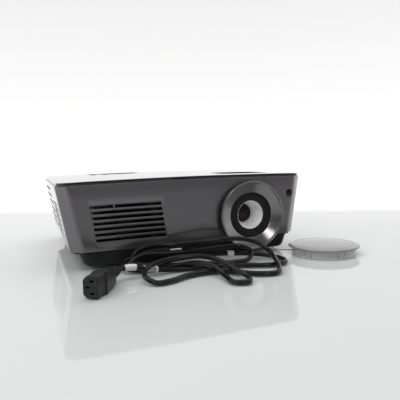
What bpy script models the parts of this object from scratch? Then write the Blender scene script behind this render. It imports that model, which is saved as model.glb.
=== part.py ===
"""A home projector with its power lead and lens cap, as separate pieces.

Metres. +X is the viewer's right, the lens looks along -Y and +Z is up. The origin is the centre of the
front foot's underside, so the table is z = 0.
"""

from math import ceil, cos, pi, radians, sin, sqrt

import bmesh
import bpy
import numpy as np
from mathutils import Matrix, Vector

# Overall
TOP_WIDTH = 0.388  # across the shell at SHELL_TOP
LOW_WIDTH = 0.356  # across the shell at SHELL_BOTTOM
DEPTH = 0.320
FRONT_Y = -0.035  # the front panel's face
SHELL_BOTTOM = 0.026
SHELL_TOP = 0.1185
WALL = 0.0025
CORNER_RADIUS = 0.020
PANEL_WRAP = 0.028  # how far the front panel reaches back round the corners
CROWN = 0.0024  # how much the top rises from its sides to the middle
GAP = 0.0003  # between pieces that touch
REAR_Y = FRONT_Y + DEPTH

# Tray under the shell
TRAY_BOTTOM = 0.0045
TRAY_LOW_WIDTH = 0.318
TRAY_TOP_WIDTH = 0.334
TRAY_SETBACK = 0.002
TRAY_CORNER = 0.014
TRAY_FLANGE = 0.004
TRAY_EDGE = 0.006

# Top covers
COVER_THICKNESS = 0.0033
COVER_INSET = 0.004
COVER_CORNER = 0.016
SEAM_FRONT_X = 0.050
SEAM_REAR_X = 0.074
SEAM_WIDTH = 0.0006
FINGER_X = (0.072, 0.160)
FINGER_Y = (0.012, 0.078)
FINGER_RADIUS = 0.018

# Front panel details
SLOT_COUNT = 7
SLOT_HEIGHT = 0.0036
SLOT_LENGTH = 0.102
SLOT_PITCH = 0.00775
SLOT_SLANT = 0.0011  # each slot starts this much further right than the one above
TOP_SLOT_Z = 0.088
TOP_SLOT_X = -0.150
WINDOW_X = 0.167
WINDOW_Z = 0.0923
WINDOW_RADIUS = 0.006

# Side vents
SIDE_SLOT_COUNT = 7
SIDE_SLOT_LENGTH = 0.090
SIDE_SLOT_Y = 0.025
RIGHT_SLOT_Y = 0.160

# Lens
LENS_X = 0.0955
LENS_Z = 0.0612
RING_RADIUS = 0.0534
RING_STAND = 0.012  # how far the ring stands in front of the panel
RING_SLEEVE = 0.045
BARREL_RADIUS = 0.0345
BARREL_MOUTH = 0.0225
GLASS_RADIUS = 0.0145
GLASS_DEPTH = 0.026  # behind the front barrel's face
CORE_RADIUS = 0.0320
CORE_BORE = 0.016
CORE_START = 0.012
CORE_END = 0.0892
GRIP_RADIUS = 0.0455
FOCUS_Y = (0.016, 0.036)
ZOOM_Y = (0.046, 0.066)
RUNNING = 0.0004  # clearance of the turning rings
FOCUS_TRAVEL = 0.003  # each way
BARREL_CLEARANCE = 0.004  # left behind the front barrel at full travel
LEVER_TILT = 26  # degrees from straight up
LEVER_REACH = 0.0580

# Light engine
ENGINE_X = (0.040, 0.128)
ENGINE_Y = (0.0895, 0.150)
ENGINE_TOP = 0.102
TUNNEL_SIZE = (0.014, 0.010)
BEAM_Y = 0.118
WHEEL_X = 0.006
WHEEL_RADIUS = 0.022
WHEEL_OFFSET = 0.017
MOTOR_RADIUS = 0.0095
LAMP_X = (-0.078, -0.004)
LAMP_Y = (0.084, 0.152)
LAMP_TOP = 0.098
REFLECTOR_RADIUS = 0.026

# Fans
FAN_SIZE = 0.092
FAN_DEPTH = 0.025
FAN_X = -0.099
INTAKE_SIZE = 0.080
INTAKE_DEPTH = 0.020
INTAKE_X = 0.131
INTAKE_Y = 0.205
BLOWER_SIZE = 0.050
BLOWER_DEPTH = 0.016
BLOWER_X = -0.016
BLOWER_Y = 0.052
FAN_WALL = 0.0015

# Boards
BOARD_THICKNESS = 0.0016
MAIN_BOARD_X = (-0.090, 0.108)
MAIN_BOARD_Y = (REAR_Y - 0.089, REAR_Y - 0.0045)
MAIN_BOARD_Z = 0.0520
SUPPLY_X = (-0.150, -0.092)
SUPPLY_Y = (0.045, 0.205)
SUPPLY_Z = 0.0130
BALLAST_X = (-0.150, -0.096)
BALLAST_Y = (0.212, 0.250)
SPEAKER_RADIUS = 0.018
SPEAKER_AT = (0.050, 0.225)
POST_RADIUS = 0.0032

# Rear sockets, each (centre x, width, height), standing on the main board
PLATE_X = (-0.096, 0.112)
PLATE_Z = (0.046, 0.092)
INLET_X = -0.132
INLET_Z = 0.058
INLET_FLANGE = (0.032, 0.025)
INLET_FLANGE_THICKNESS = 0.0020
INLET_CAVITY = (0.0245, 0.0165)
INLET_DEPTH = 0.017
LAN_SOCKET = (-0.078, 0.016, 0.0135)
HDMI_SOCKET = (-0.052, 0.0155, 0.0062)
VGA_SOCKET = (-0.018, 0.031, 0.0125)
AUDIO_SOCKET = (0.068, 0.036, 0.0130)
SOCKET_DEPTH = 0.018

# Keypad
KEYPAD_X = -0.070
KEYPAD_Y = 0.222
KEYPAD_SIZE = (0.092, 0.052)
KEYPAD_FLOOR = 0.1150
KEY_RADIUS = 0.0050
KEY_RISE = 0.0010
KEY_TRAVEL = 0.0010
KEYS = {  # offset of each key from the keypad's centre
    "enter_key": (0.000, 0.000),
    "up_key": (0.000, 0.015),
    "down_key": (0.000, -0.015),
    "left_key": (-0.015, 0.000),
    "right_key": (0.015, 0.000),
    "power_key": (-0.036, 0.013),
    "menu_key": (0.036, 0.013),
    "source_key": (0.036, -0.013),
}
LIGHTS_AT = (-0.036, -0.013)
LIGHTS_SIZE = (0.0140, 0.0036)

# Feet
FOOT_RADIUS = 0.0110
FOOT_PAD = 0.0040
FOOT_STEM = 0.0060
FOOT_STEM_TOP = 0.052
FOOT_GUIDE_TOP = 0.030
FOOT_GUIDE_WALL = 0.0030
RELEASE_WIDTH = 0.024
RELEASE_HEIGHT = 0.008
RELEASE_Z = 0.0155
RELEASE_LENGTH = 0.013
RELEASE_PROUD = 0.0035
REAR_FOOT_X = 0.125
REAR_FOOT_Y = 0.258
REAR_FOOT_RADIUS = 0.0125
SCREW_RADIUS = 0.0040
SCREW_TOP = 0.034
SCREW_BOSS_TOP = 0.026
CEILING_HOLES = ((-0.110, 0.030), (0.030, 0.030), (-0.110, 0.235), (0.100, 0.185))
CEILING_BOSS_RADIUS = 0.0060
CEILING_BOSS_HEIGHT = 0.0068  # inside the tray
CEILING_HOLE_RADIUS = 0.0020

# Lens cap, lying face up in front of the right-hand side
CAP_AT = (0.196, -0.086)
CAP_RADIUS = 0.0540
CAP_SKIRT_RADIUS = 0.0480
CAP_SKIRT_WALL = 0.0016
CAP_SKIRT_HEIGHT = 0.0110
CAP_FACE = 0.0026
CAP_DOME = 0.0022
TETHER_RADIUS = 0.0006
TETHER_ROUTE = [
    (0.1450, 0.0180, 0.0036),
    (0.1452, -0.0020, 0.0024),
    (0.1440, -0.0240, 0.0010),
    (0.1405, -0.0440, 0.0024),
    (0.1418, -0.0620, 0.0056),
    (0.1448, -0.0730, 0.0074),
    (0.1487, -0.0758, 0.0080),
]

# Power lead
CORD_DIAMETER = 0.0068
CORD_STEP = 2.95  # diameters between the tube's points
CORD_STUB = 0.005  # straight where it leaves the connector and enters the plug
CONNECTOR_FACE = (-0.1700, -0.1640, 0.0138)
CONNECTOR_HEADING = 34.0  # degrees from +Y towards +X
CONNECTOR_LENGTH = 0.052
CONNECTOR_SIZE = (0.0195, 0.0270)
BOOT_LENGTH = 0.0250
PLUG_END = (-0.0960, -0.0510, 0.0148)
PLUG_LENGTH = 0.040
PLUG_SIZE = (0.0190, 0.0215)
PLUG_BOOT = 0.012
BLADE_LENGTH = 0.0175
CORD_ROUTE = [
    (-0.1080, -0.0970, 0.0145),
    (-0.0860, -0.0955, 0.0095),
    (-0.0600, -0.0935, 0.0046),
    (-0.0300, -0.0970, 0.0040),
    (0.0040, -0.1030, 0.0040),
    (0.0400, -0.1150, 0.0040),
    (0.0780, -0.1300, 0.0040),
    (0.1030, -0.1240, 0.0040),
    (0.1090, -0.1060, 0.0042),
    (0.0990, -0.0840, 0.0055),
    (0.0780, -0.0700, 0.0075),
    (0.0500, -0.0635, 0.0098),
    (0.0180, -0.0635, 0.0118),
    (-0.0200, -0.0705, 0.0128),
    (-0.0580, -0.0790, 0.0130),
    (-0.0880, -0.0850, 0.0120),
    (-0.1065, -0.0780, 0.0155),
    (-0.0900, -0.0690, 0.0220),
    (-0.0480, -0.0685, 0.0205),
    (0.0060, -0.0665, 0.0205),
    (0.0400, -0.0655, 0.0215),
    (0.0620, -0.0690, 0.0205),
    (0.0720, -0.0800, 0.0145),
    (0.0620, -0.0930, 0.0060),
    (0.0400, -0.0960, 0.0040),
    (0.0180, -0.0890, 0.0040),
    (-0.0200, -0.0770, 0.0040),
    (-0.0560, -0.0668, 0.0040),
    (-0.0840, -0.0665, 0.0050),
    (-0.0990, -0.0640, 0.0135),
    (-0.0960, -0.0625, 0.0250),
    (-0.0750, -0.0590, 0.0325),
    (-0.0420, -0.0620, 0.0315),
    (-0.0050, -0.0740, 0.0340),
    (0.0310, -0.0810, 0.0360),
    (0.0640, -0.0800, 0.0325),
    (0.0840, -0.0860, 0.0250),
    (0.0890, -0.1030, 0.0175),
    (0.0840, -0.1260, 0.0134),
    (0.0780, -0.1490, 0.0065),
    (0.0640, -0.1680, 0.0040),
    (0.0400, -0.1630, 0.0040),
    (0.0180, -0.1430, 0.0040),
    (-0.0080, -0.1280, 0.0040),
    (-0.0420, -0.1300, 0.0040),
    (-0.0700, -0.1440, 0.0040),
    (-0.0890, -0.1460, 0.0040),
    (-0.0990, -0.1280, 0.0080),
    (-0.0910, -0.1070, 0.0140),
    (-0.0640, -0.0995, 0.0195),
    (-0.0200, -0.1060, 0.0215),
    (0.0020, -0.1190, 0.0170),
    (0.0130, -0.1480, 0.0100),
    (0.0190, -0.1730, 0.0050),
    (0.0120, -0.1900, 0.0040),
    (-0.0040, -0.1840, 0.0040),
    (-0.0050, -0.1550, 0.0060),
    (-0.0100, -0.1280, 0.0128),
    (-0.0220, -0.1060, 0.0126),
    (-0.0390, -0.0890, 0.0085),
    (-0.0520, -0.0800, 0.0048),
    (-0.0700, -0.0770, 0.0042),
    (-0.0940, -0.0770, 0.0042),
    (-0.1100, -0.0690, 0.0065),
    (-0.1120, -0.0570, 0.0120),
]

COLLECTION_NAME = "home_projector"
REACH = 1.0  # long enough to cut right through


def clear_scene():
    for obj in list(bpy.data.objects):
        bpy.data.objects.remove(obj, do_unlink=True)


def new_collection(name):
    collection = bpy.data.collections.new(name)
    bpy.context.scene.collection.children.link(collection)
    return collection


def new_material(name, colour, roughness, metallic=0.0):
    material = bpy.data.materials.new(name)
    material.use_nodes = True
    shader = material.node_tree.nodes["Principled BSDF"]
    shader.inputs["Base Color"].default_value = (*colour, 1)
    shader.inputs["Roughness"].default_value = roughness
    shader.inputs["Metallic"].default_value = metallic
    material.diffuse_color = (*colour, 1)
    return material


clear_scene()
PARTS = new_collection(COLLECTION_NAME)
CUTTERS = new_collection("cutters")
GUNMETAL = new_material("gunmetal_paint", (0.10, 0.098, 0.10), 0.32, 0.6)
GLOSS_BLACK = new_material("gloss_black", (0.012, 0.012, 0.013), 0.08)
MATTE_BLACK = new_material("matte_black", (0.025, 0.027, 0.029), 0.5)
SILVER = new_material("silver_plastic", (0.50, 0.50, 0.51), 0.35, 0.4)
GLASS = new_material("coated_glass", (0.03, 0.02, 0.06), 0.03)
CLEAR = new_material("clear_plastic", (0.75, 0.78, 0.77), 0.12)
RUBBER = new_material("black_rubber", (0.02, 0.02, 0.02), 0.7)
METAL = new_material("bare_metal", (0.55, 0.55, 0.56), 0.3, 1.0)
BOARD = new_material("circuit_board", (0.02, 0.13, 0.06), 0.5)
CAP_GREY = new_material("cap_grey", (0.20, 0.20, 0.21), 0.28)


def add_object(name, data, material):
    """An object in the parts collection, or a hidden cutter where there is no material."""
    obj = bpy.data.objects.new(name, data)
    (PARTS if material else CUTTERS).objects.link(obj)
    if material:
        data.materials.append(material)
    else:
        obj.hide_render = True
        obj.display_type = "WIRE"
    return obj


def finish_mesh(name, bm, material):
    bmesh.ops.recalc_face_normals(bm, faces=bm.faces)
    mesh = bpy.data.meshes.new(name)
    bm.to_mesh(mesh)
    bm.free()
    if material:
        mesh.shade_smooth()
        mesh.set_sharp_from_angle(angle=radians(32))
    return add_object(name, mesh, material)


def bevel_along(bm, axis, radius, segments):
    """Rounds the edges that run along one axis."""
    edges = []
    for edge in bm.edges:
        direction = (edge.verts[1].co - edge.verts[0].co).normalized()
        if abs(direction[axis]) > 0.9:
            edges.append(edge)
    bmesh.ops.bevel(bm, geom=edges, offset=radius, segments=segments, affect="EDGES", profile=0.5)


def block(name, x, y, z, material=None, radius=0.0, along=2, segments=3):
    """A box between pairs of coordinates, with the edges along one axis rounded."""
    bm = bmesh.new()
    bmesh.ops.create_cube(bm, size=1)
    size = Vector((x[1] - x[0], y[1] - y[0], z[1] - z[0]))
    centre = Vector((x[0] + x[1], y[0] + y[1], z[0] + z[1])) / 2
    bmesh.ops.scale(bm, vec=size, verts=bm.verts)
    bmesh.ops.translate(bm, vec=centre, verts=bm.verts)
    if radius:
        bevel_along(bm, along, radius, segments)
    return finish_mesh(name, bm, material)


def tapered(name, low_width, high_width, y, z, radius, material=None, edge=0.0):
    """A rounded box whose sides lean out as they rise; edge rounds its lower rim."""
    bm = bmesh.new()
    bmesh.ops.create_cube(bm, size=1)
    for vert in bm.verts:
        width = low_width if vert.co.z < 0 else high_width
        vert.co = (vert.co.x * width, vert.co.y * (y[1] - y[0]) + sum(y) / 2, z[vert.co.z > 0])
    bevel_along(bm, 2, radius, 4)
    if edge:
        low = [e for e in bm.edges if all(v.co.z < z[0] + 1e-6 for v in e.verts)]
        bmesh.ops.bevel(bm, geom=low, offset=edge, segments=2, affect="EDGES", profile=0.5)
    return finish_mesh(name, bm, material)


def rod(name, start, end, radius, material=None, sides=20, end_radius=None):
    """A cylinder, or a cone, between two points."""
    start, end = Vector(start), Vector(end)
    bm = bmesh.new()
    tip = radius if end_radius is None else end_radius
    length = (end - start).length
    bmesh.ops.create_cone(bm, cap_ends=True, segments=sides, radius1=radius, radius2=tip, depth=length)
    turn = (end - start).to_track_quat("Z", "Y").to_matrix().to_4x4()
    bmesh.ops.transform(bm, matrix=Matrix.Translation((start + end) / 2) @ turn, verts=bm.verts)
    return finish_mesh(name, bm, material)


def turned(name, profile, centre, turn, material=None, steps=32, closed=True):
    """A profile of (radius, height) points turned about Z, then put in place.

    It runs down the outer side. Where it isn't closed, it starts and ends on the axis.
    """
    bm = bmesh.new()
    verts = [bm.verts.new((radius, 0, height)) for radius, height in profile]
    for a, b in zip(verts, verts[1:]):
        bm.edges.new((a, b))
    if closed:
        bm.edges.new((verts[-1], verts[0]))
    mesh = bpy.data.meshes.new(name)
    bm.to_mesh(mesh)
    bm.free()
    obj = add_object(name, mesh, material)
    screw = obj.modifiers.new("turn", "SCREW")
    screw.axis = "Z"
    screw.steps = screw.render_steps = steps
    screw.use_merge_vertices = True
    screw.merge_threshold = 0.00001
    obj.location = centre
    obj.rotation_euler = turn
    return obj


FORWARD = (radians(90), 0, 0)  # turns +Z to -Y, out of the lens
SIDEWAYS = (0, radians(90), 0)  # turns +Z to +X


def plate(name, outline, z, material=None):
    """A flat outline of (x, y) points with a thickness."""
    curve = bpy.data.curves.new(name, "CURVE")
    curve.dimensions = "2D"
    curve.fill_mode = "BOTH"
    curve.extrude = (z[1] - z[0]) / 2
    spline = curve.splines.new("POLY")
    spline.points.add(len(outline) - 1)
    for point, (x, y) in zip(spline.points, outline):
        point.co = (x, y, 0, 1)
    spline.use_cyclic_u = True
    source = bpy.data.objects.new(name + "_outline", curve)
    CUTTERS.objects.link(source)
    graph = bpy.context.evaluated_depsgraph_get()
    mesh = bpy.data.meshes.new_from_object(source.evaluated_get(graph))
    bpy.data.objects.remove(source, do_unlink=True)
    bm = bmesh.new()
    bm.from_mesh(mesh)
    bmesh.ops.remove_doubles(bm, verts=bm.verts, dist=0.00001)
    bmesh.ops.translate(bm, vec=(0, 0, sum(z) / 2), verts=bm.verts)
    return finish_mesh(name, bm, material)


def tube(name, points, radius, material, resolution):
    curve = bpy.data.curves.new(name, "CURVE")
    curve.dimensions = "3D"
    curve.bevel_depth = radius
    curve.bevel_resolution = resolution
    curve.use_fill_caps = True
    spline = curve.splines.new("POLY")
    spline.points.add(len(points) - 1)
    for point, place in zip(spline.points, points):
        point.co = (*place, 1)
    return add_object(name, curve, material)


def boolean(obj, other, operation):
    modifier = obj.modifiers.new(operation.lower(), "BOOLEAN")
    modifier.operation = operation
    modifier.solver = "EXACT"
    modifier.object = other


def cut(obj, *others):
    for other in others:
        boolean(obj, other, "DIFFERENCE")
    return obj


def join(obj, *others):
    for other in others:
        boolean(obj, other, "UNION")
    return obj


def set_origin(obj, origin):
    obj.data.transform(Matrix.Translation(-Vector(origin)))
    obj.location = origin
    return obj


def spaced(start, count, pitch):
    return [start + i * pitch for i in range(count)]


SPANS = (((0, 1), (1, 2), (2, 3)), ((0, 2), (1, 3)), ((1, 2),))  # knots that each blend runs between


def smooth_route(points, step):
    """Points a step apart along a centripetal Catmull-Rom curve through the route's own points."""
    route = np.array(points)
    ends = np.vstack([2 * route[0] - route[1], route, 2 * route[-1] - route[-2]])
    fine = []
    for four in zip(ends, ends[1:], ends[2:], ends[3:]):
        sides = np.linalg.norm(np.diff(four, axis=0), axis=1)
        knots = np.concatenate([[0], np.cumsum(np.sqrt(sides))])
        for t in np.linspace(knots[1], knots[2], 12, endpoint=False):
            row = list(four)
            for spans in SPANS:
                shares = [(t - knots[i]) / (knots[j] - knots[i]) for i, j in spans]
                row = [p * (1 - share) + q * share for p, q, share in zip(row, row[1:], shares)]
            fine.append(row[0])
    fine = np.array(fine + [route[-1]])
    along = np.concatenate([[0], np.cumsum(np.linalg.norm(np.diff(fine, axis=0), axis=1))])
    places = np.linspace(0, along[-1], ceil(along[-1] / step) + 1)
    return np.stack([np.interp(places, along, fine[:, k]) for k in range(3)], axis=1)


# ---- Shapes that several pieces share ----


def shell_width(z):
    return LOW_WIDTH + (TOP_WIDTH - LOW_WIDTH) * (z - SHELL_BOTTOM) / (SHELL_TOP - SHELL_BOTTOM)


def shell_block(name, inset, z, material=None):
    widths = [shell_width(height) - 2 * inset for height in z]
    return tapered(name, *widths, (FRONT_Y + inset, REAR_Y - inset), z, CORNER_RADIUS - inset, material)


def crown(x):
    """How far the top stands above its edges."""
    return CROWN * (1 - min(1, (2 * x / TOP_WIDTH) ** 2))


def crowned_block(name, half_width, y, z, material=None):
    """A slab whose upper and lower faces both follow the crown."""
    bm = bmesh.new()
    bmesh.ops.create_cube(bm, size=1)
    size = Vector((2 * half_width, y[1] - y[0], z[1] - z[0]))
    bmesh.ops.scale(bm, vec=size, verts=bm.verts)
    bmesh.ops.translate(bm, vec=(0, sum(y) / 2, sum(z) / 2), verts=bm.verts)
    across = [e for e in bm.edges if abs(e.verts[0].co.x - e.verts[1].co.x) > half_width]
    bmesh.ops.subdivide_edges(bm, edges=across, cuts=11, use_grid_fill=True)
    for vert in bm.verts:
        vert.co.z += crown(vert.co.x)
    return finish_mesh(name, bm, material)


TRAY_FLOOR = TRAY_BOTTOM + WALL + 0.0002
INSIDE = TRAY_FLOOR + GAP  # what stands on the tray starts here
COVER_Z = (SHELL_TOP + GAP, SHELL_TOP + GAP + COVER_THICKNESS)
LENS_HOLE = rod("lens_hole", (LENS_X, FRONT_Y - 0.02, LENS_Z), (LENS_X, FRONT_Y + 0.02, LENS_Z),
                RING_SLEEVE + 0.0006, sides=44)
ABOVE_SHELL = crowned_block("above_shell", TOP_WIDTH, (FRONT_Y - 0.05, REAR_Y + 0.05),
                            (SHELL_TOP, SHELL_TOP + 0.06))


# ---- Casing ----


def slot(name, x, y, z, across):
    """A cutter with round ends, long in X or in Y."""
    return block(name, x, y, z, radius=0.49 * SLOT_HEIGHT, along=across, segments=2)


def front_slots():
    cutters = []
    for row in range(SLOT_COUNT):
        left = TOP_SLOT_X + row * SLOT_SLANT
        middle = TOP_SLOT_Z - row * SLOT_PITCH
        height = (middle - SLOT_HEIGHT / 2, middle + SLOT_HEIGHT / 2)
        cutters.append(slot(f"front_slot_{row}", (left, left + SLOT_LENGTH), (FRONT_Y - 0.01, FRONT_Y + 0.01),
                            height, 1))
    return cutters


def side_slots(side, start):
    cutters = []
    for row in range(SIDE_SLOT_COUNT):
        middle = TOP_SLOT_Z - row * SLOT_PITCH
        height = (middle - SLOT_HEIGHT / 2, middle + SLOT_HEIGHT / 2)
        reach = sorted((side * (LOW_WIDTH / 2 - 0.02), side * (TOP_WIDTH / 2 + 0.01)))
        cutters.append(slot(f"side_slot_{side}_{row}", reach, (start, start + SIDE_SLOT_LENGTH), height, 0))
    return cutters


def shell_piece(name, y, material):
    """The part of the shell between two depths, open above and below."""
    piece = shell_block(name, 0, (SHELL_BOTTOM, SHELL_TOP + 0.008), material)
    cut(piece, shell_block(name + "_hollow", WALL, (SHELL_BOTTOM - 0.005, SHELL_TOP + 0.02)))
    cut(piece, ABOVE_SHELL)
    tall = (SHELL_BOTTOM - 0.05, SHELL_TOP + 0.05)
    keep = block(name + "_keep", (-REACH, REACH), y, tall)
    boolean(piece, keep, "INTERSECT")
    return piece


def make_shells():
    split = FRONT_Y + PANEL_WRAP
    panel = shell_piece("front_panel", (FRONT_Y - 0.05, split - GAP / 2), GUNMETAL)
    window = rod("window_hole", (WINDOW_X, FRONT_Y - 0.01, WINDOW_Z), (WINDOW_X, FRONT_Y + 0.01, WINDOW_Z),
                 WINDOW_RADIUS, sides=20)
    cut(panel, LENS_HOLE, window, *front_slots())
    housing = shell_piece("main_housing", (split + GAP / 2, REAR_Y + 0.05), GUNMETAL)
    rear = (REAR_Y - 0.01, REAR_Y + 0.01)
    plate_hole = block("plate_hole", PLATE_X, rear, PLATE_Z)
    body = inlet_body(GAP)
    inlet_hole = block("inlet_hole", body[0], rear, body[1])
    cut(housing, plate_hole, inlet_hole, *side_slots(-1, SIDE_SLOT_Y), *side_slots(1, RIGHT_SLOT_Y))
    rod_ends = ((WINDOW_X, FRONT_Y + 0.0002, WINDOW_Z), (WINDOW_X, FRONT_Y + WALL, WINDOW_Z))
    rod("front_ir_window", *rod_ends, WINDOW_RADIUS - GAP, GLOSS_BLACK, sides=20)


def seam_x(y, offset):
    share = (y - FRONT_Y) / DEPTH
    return SEAM_FRONT_X + (SEAM_REAR_X - SEAM_FRONT_X) * share + offset


def cover_piece(name, side):
    """The top on one side of the seam: -1 is the wide left piece, 1 the piece over the lens."""
    edge = TOP_WIDTH / 2 - COVER_INSET
    y = (FRONT_Y + 0.001, REAR_Y - COVER_INSET)
    tall = (SHELL_TOP - 0.02, SHELL_TOP + 0.03)
    piece = crowned_block(name, edge, y, COVER_Z, GLOSS_BLACK)
    outline = block(name + "_outline", (-edge, edge), y, tall, radius=COVER_CORNER, segments=5)
    boolean(piece, outline, "INTERSECT")
    front, rear = FRONT_Y - 0.05, REAR_Y + 0.05
    offset = side * SEAM_WIDTH / 2
    far = -side * REACH
    corners = [(seam_x(front, offset), front), (seam_x(rear, offset), rear), (far, rear), (far, front)]
    cut(piece, plate(name + "_other_side", corners, tall))
    return piece


def make_covers():
    tall = (SHELL_TOP - 0.02, SHELL_TOP + 0.03)
    lens_cover = cover_piece("lens_top_cover", 1)
    cut(lens_cover, block("finger_opening", FINGER_X, FINGER_Y, tall, radius=FINGER_RADIUS, segments=5))
    cover = cover_piece("top_cover", -1)
    (x, y) = keypad_sides(GAP)
    cut(cover, block("keypad_hole", x, y, tall, radius=0.004, segments=2))


def tray_width(z):
    share = (z - TRAY_BOTTOM) / (SHELL_BOTTOM - TRAY_BOTTOM)
    return TRAY_LOW_WIDTH + (TRAY_TOP_WIDTH - TRAY_LOW_WIDTH) * share


def standing(name, at, radius, top, sides=16):
    """A post that grows out of the tray's floor."""
    return rod(name, (*at, TRAY_FLOOR - 0.001), (*at, top), radius, sides=sides)


def tray_posts():
    posts = []
    for x in (MAIN_BOARD_X[0] + 0.005, MAIN_BOARD_X[1] - 0.005):
        for y in (MAIN_BOARD_Y[0] + 0.005, MAIN_BOARD_Y[1] - 0.005):
            name = f"board_post_{x:.3f}_{y:.3f}"
            posts.append(standing(name, (x, y), POST_RADIUS, MAIN_BOARD_Z - GAP, 8))
    for x in (SUPPLY_X[0] + 0.005, SUPPLY_X[1] - 0.005):
        for y in (SUPPLY_Y[0] + 0.005, SUPPLY_Y[1] - 0.005):
            name = f"supply_post_{x:.3f}_{y:.3f}"
            posts.append(standing(name, (x, y), POST_RADIUS, SUPPLY_Z - GAP, 8))
    return posts


def make_tray():
    y = (FRONT_Y + TRAY_SETBACK, REAR_Y - TRAY_SETBACK)
    top = SHELL_BOTTOM - GAP
    tray = tapered("bottom_case", TRAY_LOW_WIDTH, tray_width(top), y, (TRAY_BOTTOM, top), TRAY_CORNER,
                   MATTE_BLACK, edge=TRAY_EDGE)
    lip = shell_block("tray_lip", WALL + GAP, (top - 0.0012, SHELL_BOTTOM + TRAY_FLANGE))
    join(tray, lip)
    inner_y = (y[0] + WALL, y[1] - WALL)
    high = SHELL_BOTTOM + 0.02
    widths = (tray_width(TRAY_FLOOR) - 2 * WALL - 0.006, tray_width(high) - 2 * WALL)
    cut(tray, tapered("tray_hollow", *widths, inner_y, (TRAY_FLOOR, high), TRAY_CORNER - WALL))
    bosses = [rod(f"ceiling_boss_{i}", (*at, TRAY_BOTTOM - 0.0005), (*at, TRAY_FLOOR + CEILING_BOSS_HEIGHT),
                  CEILING_BOSS_RADIUS, sides=12) for i, at in enumerate(CEILING_HOLES)]
    guide = standing("foot_guide", (0, 0), FOOT_STEM + GAP + FOOT_GUIDE_WALL, FOOT_GUIDE_TOP, 16)
    screw_at = (REAR_FOOT_X, REAR_FOOT_Y)
    screw_boss = standing("screw_boss", screw_at, SCREW_RADIUS + GAP + 0.003, SCREW_BOSS_TOP, 14)
    join(tray, *bosses, guide, screw_boss, *tray_posts())
    for i, at in enumerate(CEILING_HOLES):
        top = TRAY_FLOOR + CEILING_BOSS_HEIGHT - 0.0013
        cut(tray, rod(f"ceiling_hole_{i}", (*at, 0), (*at, top), CEILING_HOLE_RADIUS, sides=8))
    cut(tray, rod("stem_hole", (0, 0, -0.01), (0, 0, 0.06), FOOT_STEM + GAP))
    cut(tray, rod("screw_hole", (*screw_at, -0.01), (*screw_at, 0.06), SCREW_RADIUS + GAP, sides=20))
    cut(tray, LENS_HOLE)
    release = [(a - GAP, b + GAP) for a, b in release_sides()]
    cut(tray, block("release_hole", release[0], (FRONT_Y - 0.01, FRONT_Y + 0.012), release[2]))
    door = door_sides(GAP)
    cut(tray, block("door_hole", *door, (TRAY_BOTTOM - 0.01, TRAY_FLOOR + 0.001), radius=0.003))


def door_sides(grow):
    margin = 0.003 + grow
    return ((LAMP_X[0] - margin, LAMP_X[1] + margin), (LAMP_Y[0] - margin, LAMP_Y[1] + margin))


def make_lamp_door():
    block("lamp_door", *door_sides(0), (TRAY_BOTTOM, TRAY_FLOOR), MATTE_BLACK, radius=0.003)


# ---- Lens ----


def make_lens():
    at = (LENS_X, FRONT_Y, LENS_Z)
    bore = BARREL_RADIUS + 0.0006
    rim = RING_RADIUS
    ring = [
        (rim - 0.0012, RING_STAND), (rim, RING_STAND - 0.0012), (rim, RING_STAND - 0.0052),
        (rim - 0.0040, 0.0045), (RING_SLEEVE, 0.0030), (RING_SLEEVE, -RING_STAND),
        (RING_SLEEVE - WALL, -RING_STAND), (RING_SLEEVE - WALL, 0.0005), (bore, 0.0005), (bore, 0.0035),
    ]
    turned("lens_ring", ring, at, FORWARD, GUNMETAL, steps=44)
    neck = CORE_RADIUS - 0.005
    seat = -GLASS_DEPTH - 0.0038
    shoulder = FRONT_Y - CORE_START + FOCUS_TRAVEL + BARREL_CLEARANCE
    barrel = [
        (BARREL_RADIUS - 0.0012, 0.0030), (BARREL_RADIUS, 0.0018), (BARREL_RADIUS, shoulder),
        (neck, shoulder), (neck, shoulder - 0.025), (neck - WALL, shoulder - 0.025),
        (neck - WALL, seat - 0.006), (GLASS_RADIUS - 0.0025, seat - 0.006), (GLASS_RADIUS - 0.0025, seat),
        (BARREL_MOUTH, seat), (BARREL_MOUTH, 0.0030),
    ]
    turned("front_barrel", barrel, at, FORWARD, MATTE_BLACK)
    outer = BARREL_MOUTH - GAP
    inner = GLASS_RADIUS + 0.0006
    step = (outer - 0.001 - inner) / 3
    low = seat + GAP
    third = (0.001 - low) / 3
    baffle = [
        (outer, 0.001), (outer, low), (inner, low), (inner + 0.3 * step, low + third),
        (inner + step, low + third + 0.0006), (inner + 1.3 * step, low + 2 * third),
        (inner + 2 * step, low + 2 * third + 0.0006), (inner + 2.6 * step, 0.001),
    ]
    turned("lens_baffle", baffle, at, FORWARD, SILVER)
    dome = 0.0046
    curve = [(GLASS_RADIUS * share, dome * sqrt(1 - 0.9 * share**2) - dome * sqrt(0.1)) for share in
             (0.35, 0.65, 0.85)]
    edge = -GLASS_DEPTH
    top = edge + dome * (1 - sqrt(0.1))
    glass = [(0, top), *((r, edge + h) for r, h in curve), (GLASS_RADIUS, edge), (GLASS_RADIUS, seat + GAP),
             (0, seat + GAP)]
    turned("front_lens", glass, at, FORWARD, GLASS, closed=False)
    core_at = (LENS_X, CORE_END, LENS_Z)
    long = CORE_END - CORE_START
    core = [
        (CORE_RADIUS, long), (CORE_RADIUS, 0.004), (CORE_RADIUS + 0.009, 0.004), (CORE_RADIUS + 0.009, 0),
        (CORE_BORE, 0), (CORE_BORE, long - 0.032), (neck + 0.0005, long - 0.032), (neck + 0.0005, long),
    ]
    turned("lens_barrel", core, core_at, FORWARD, MATTE_BLACK)


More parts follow.
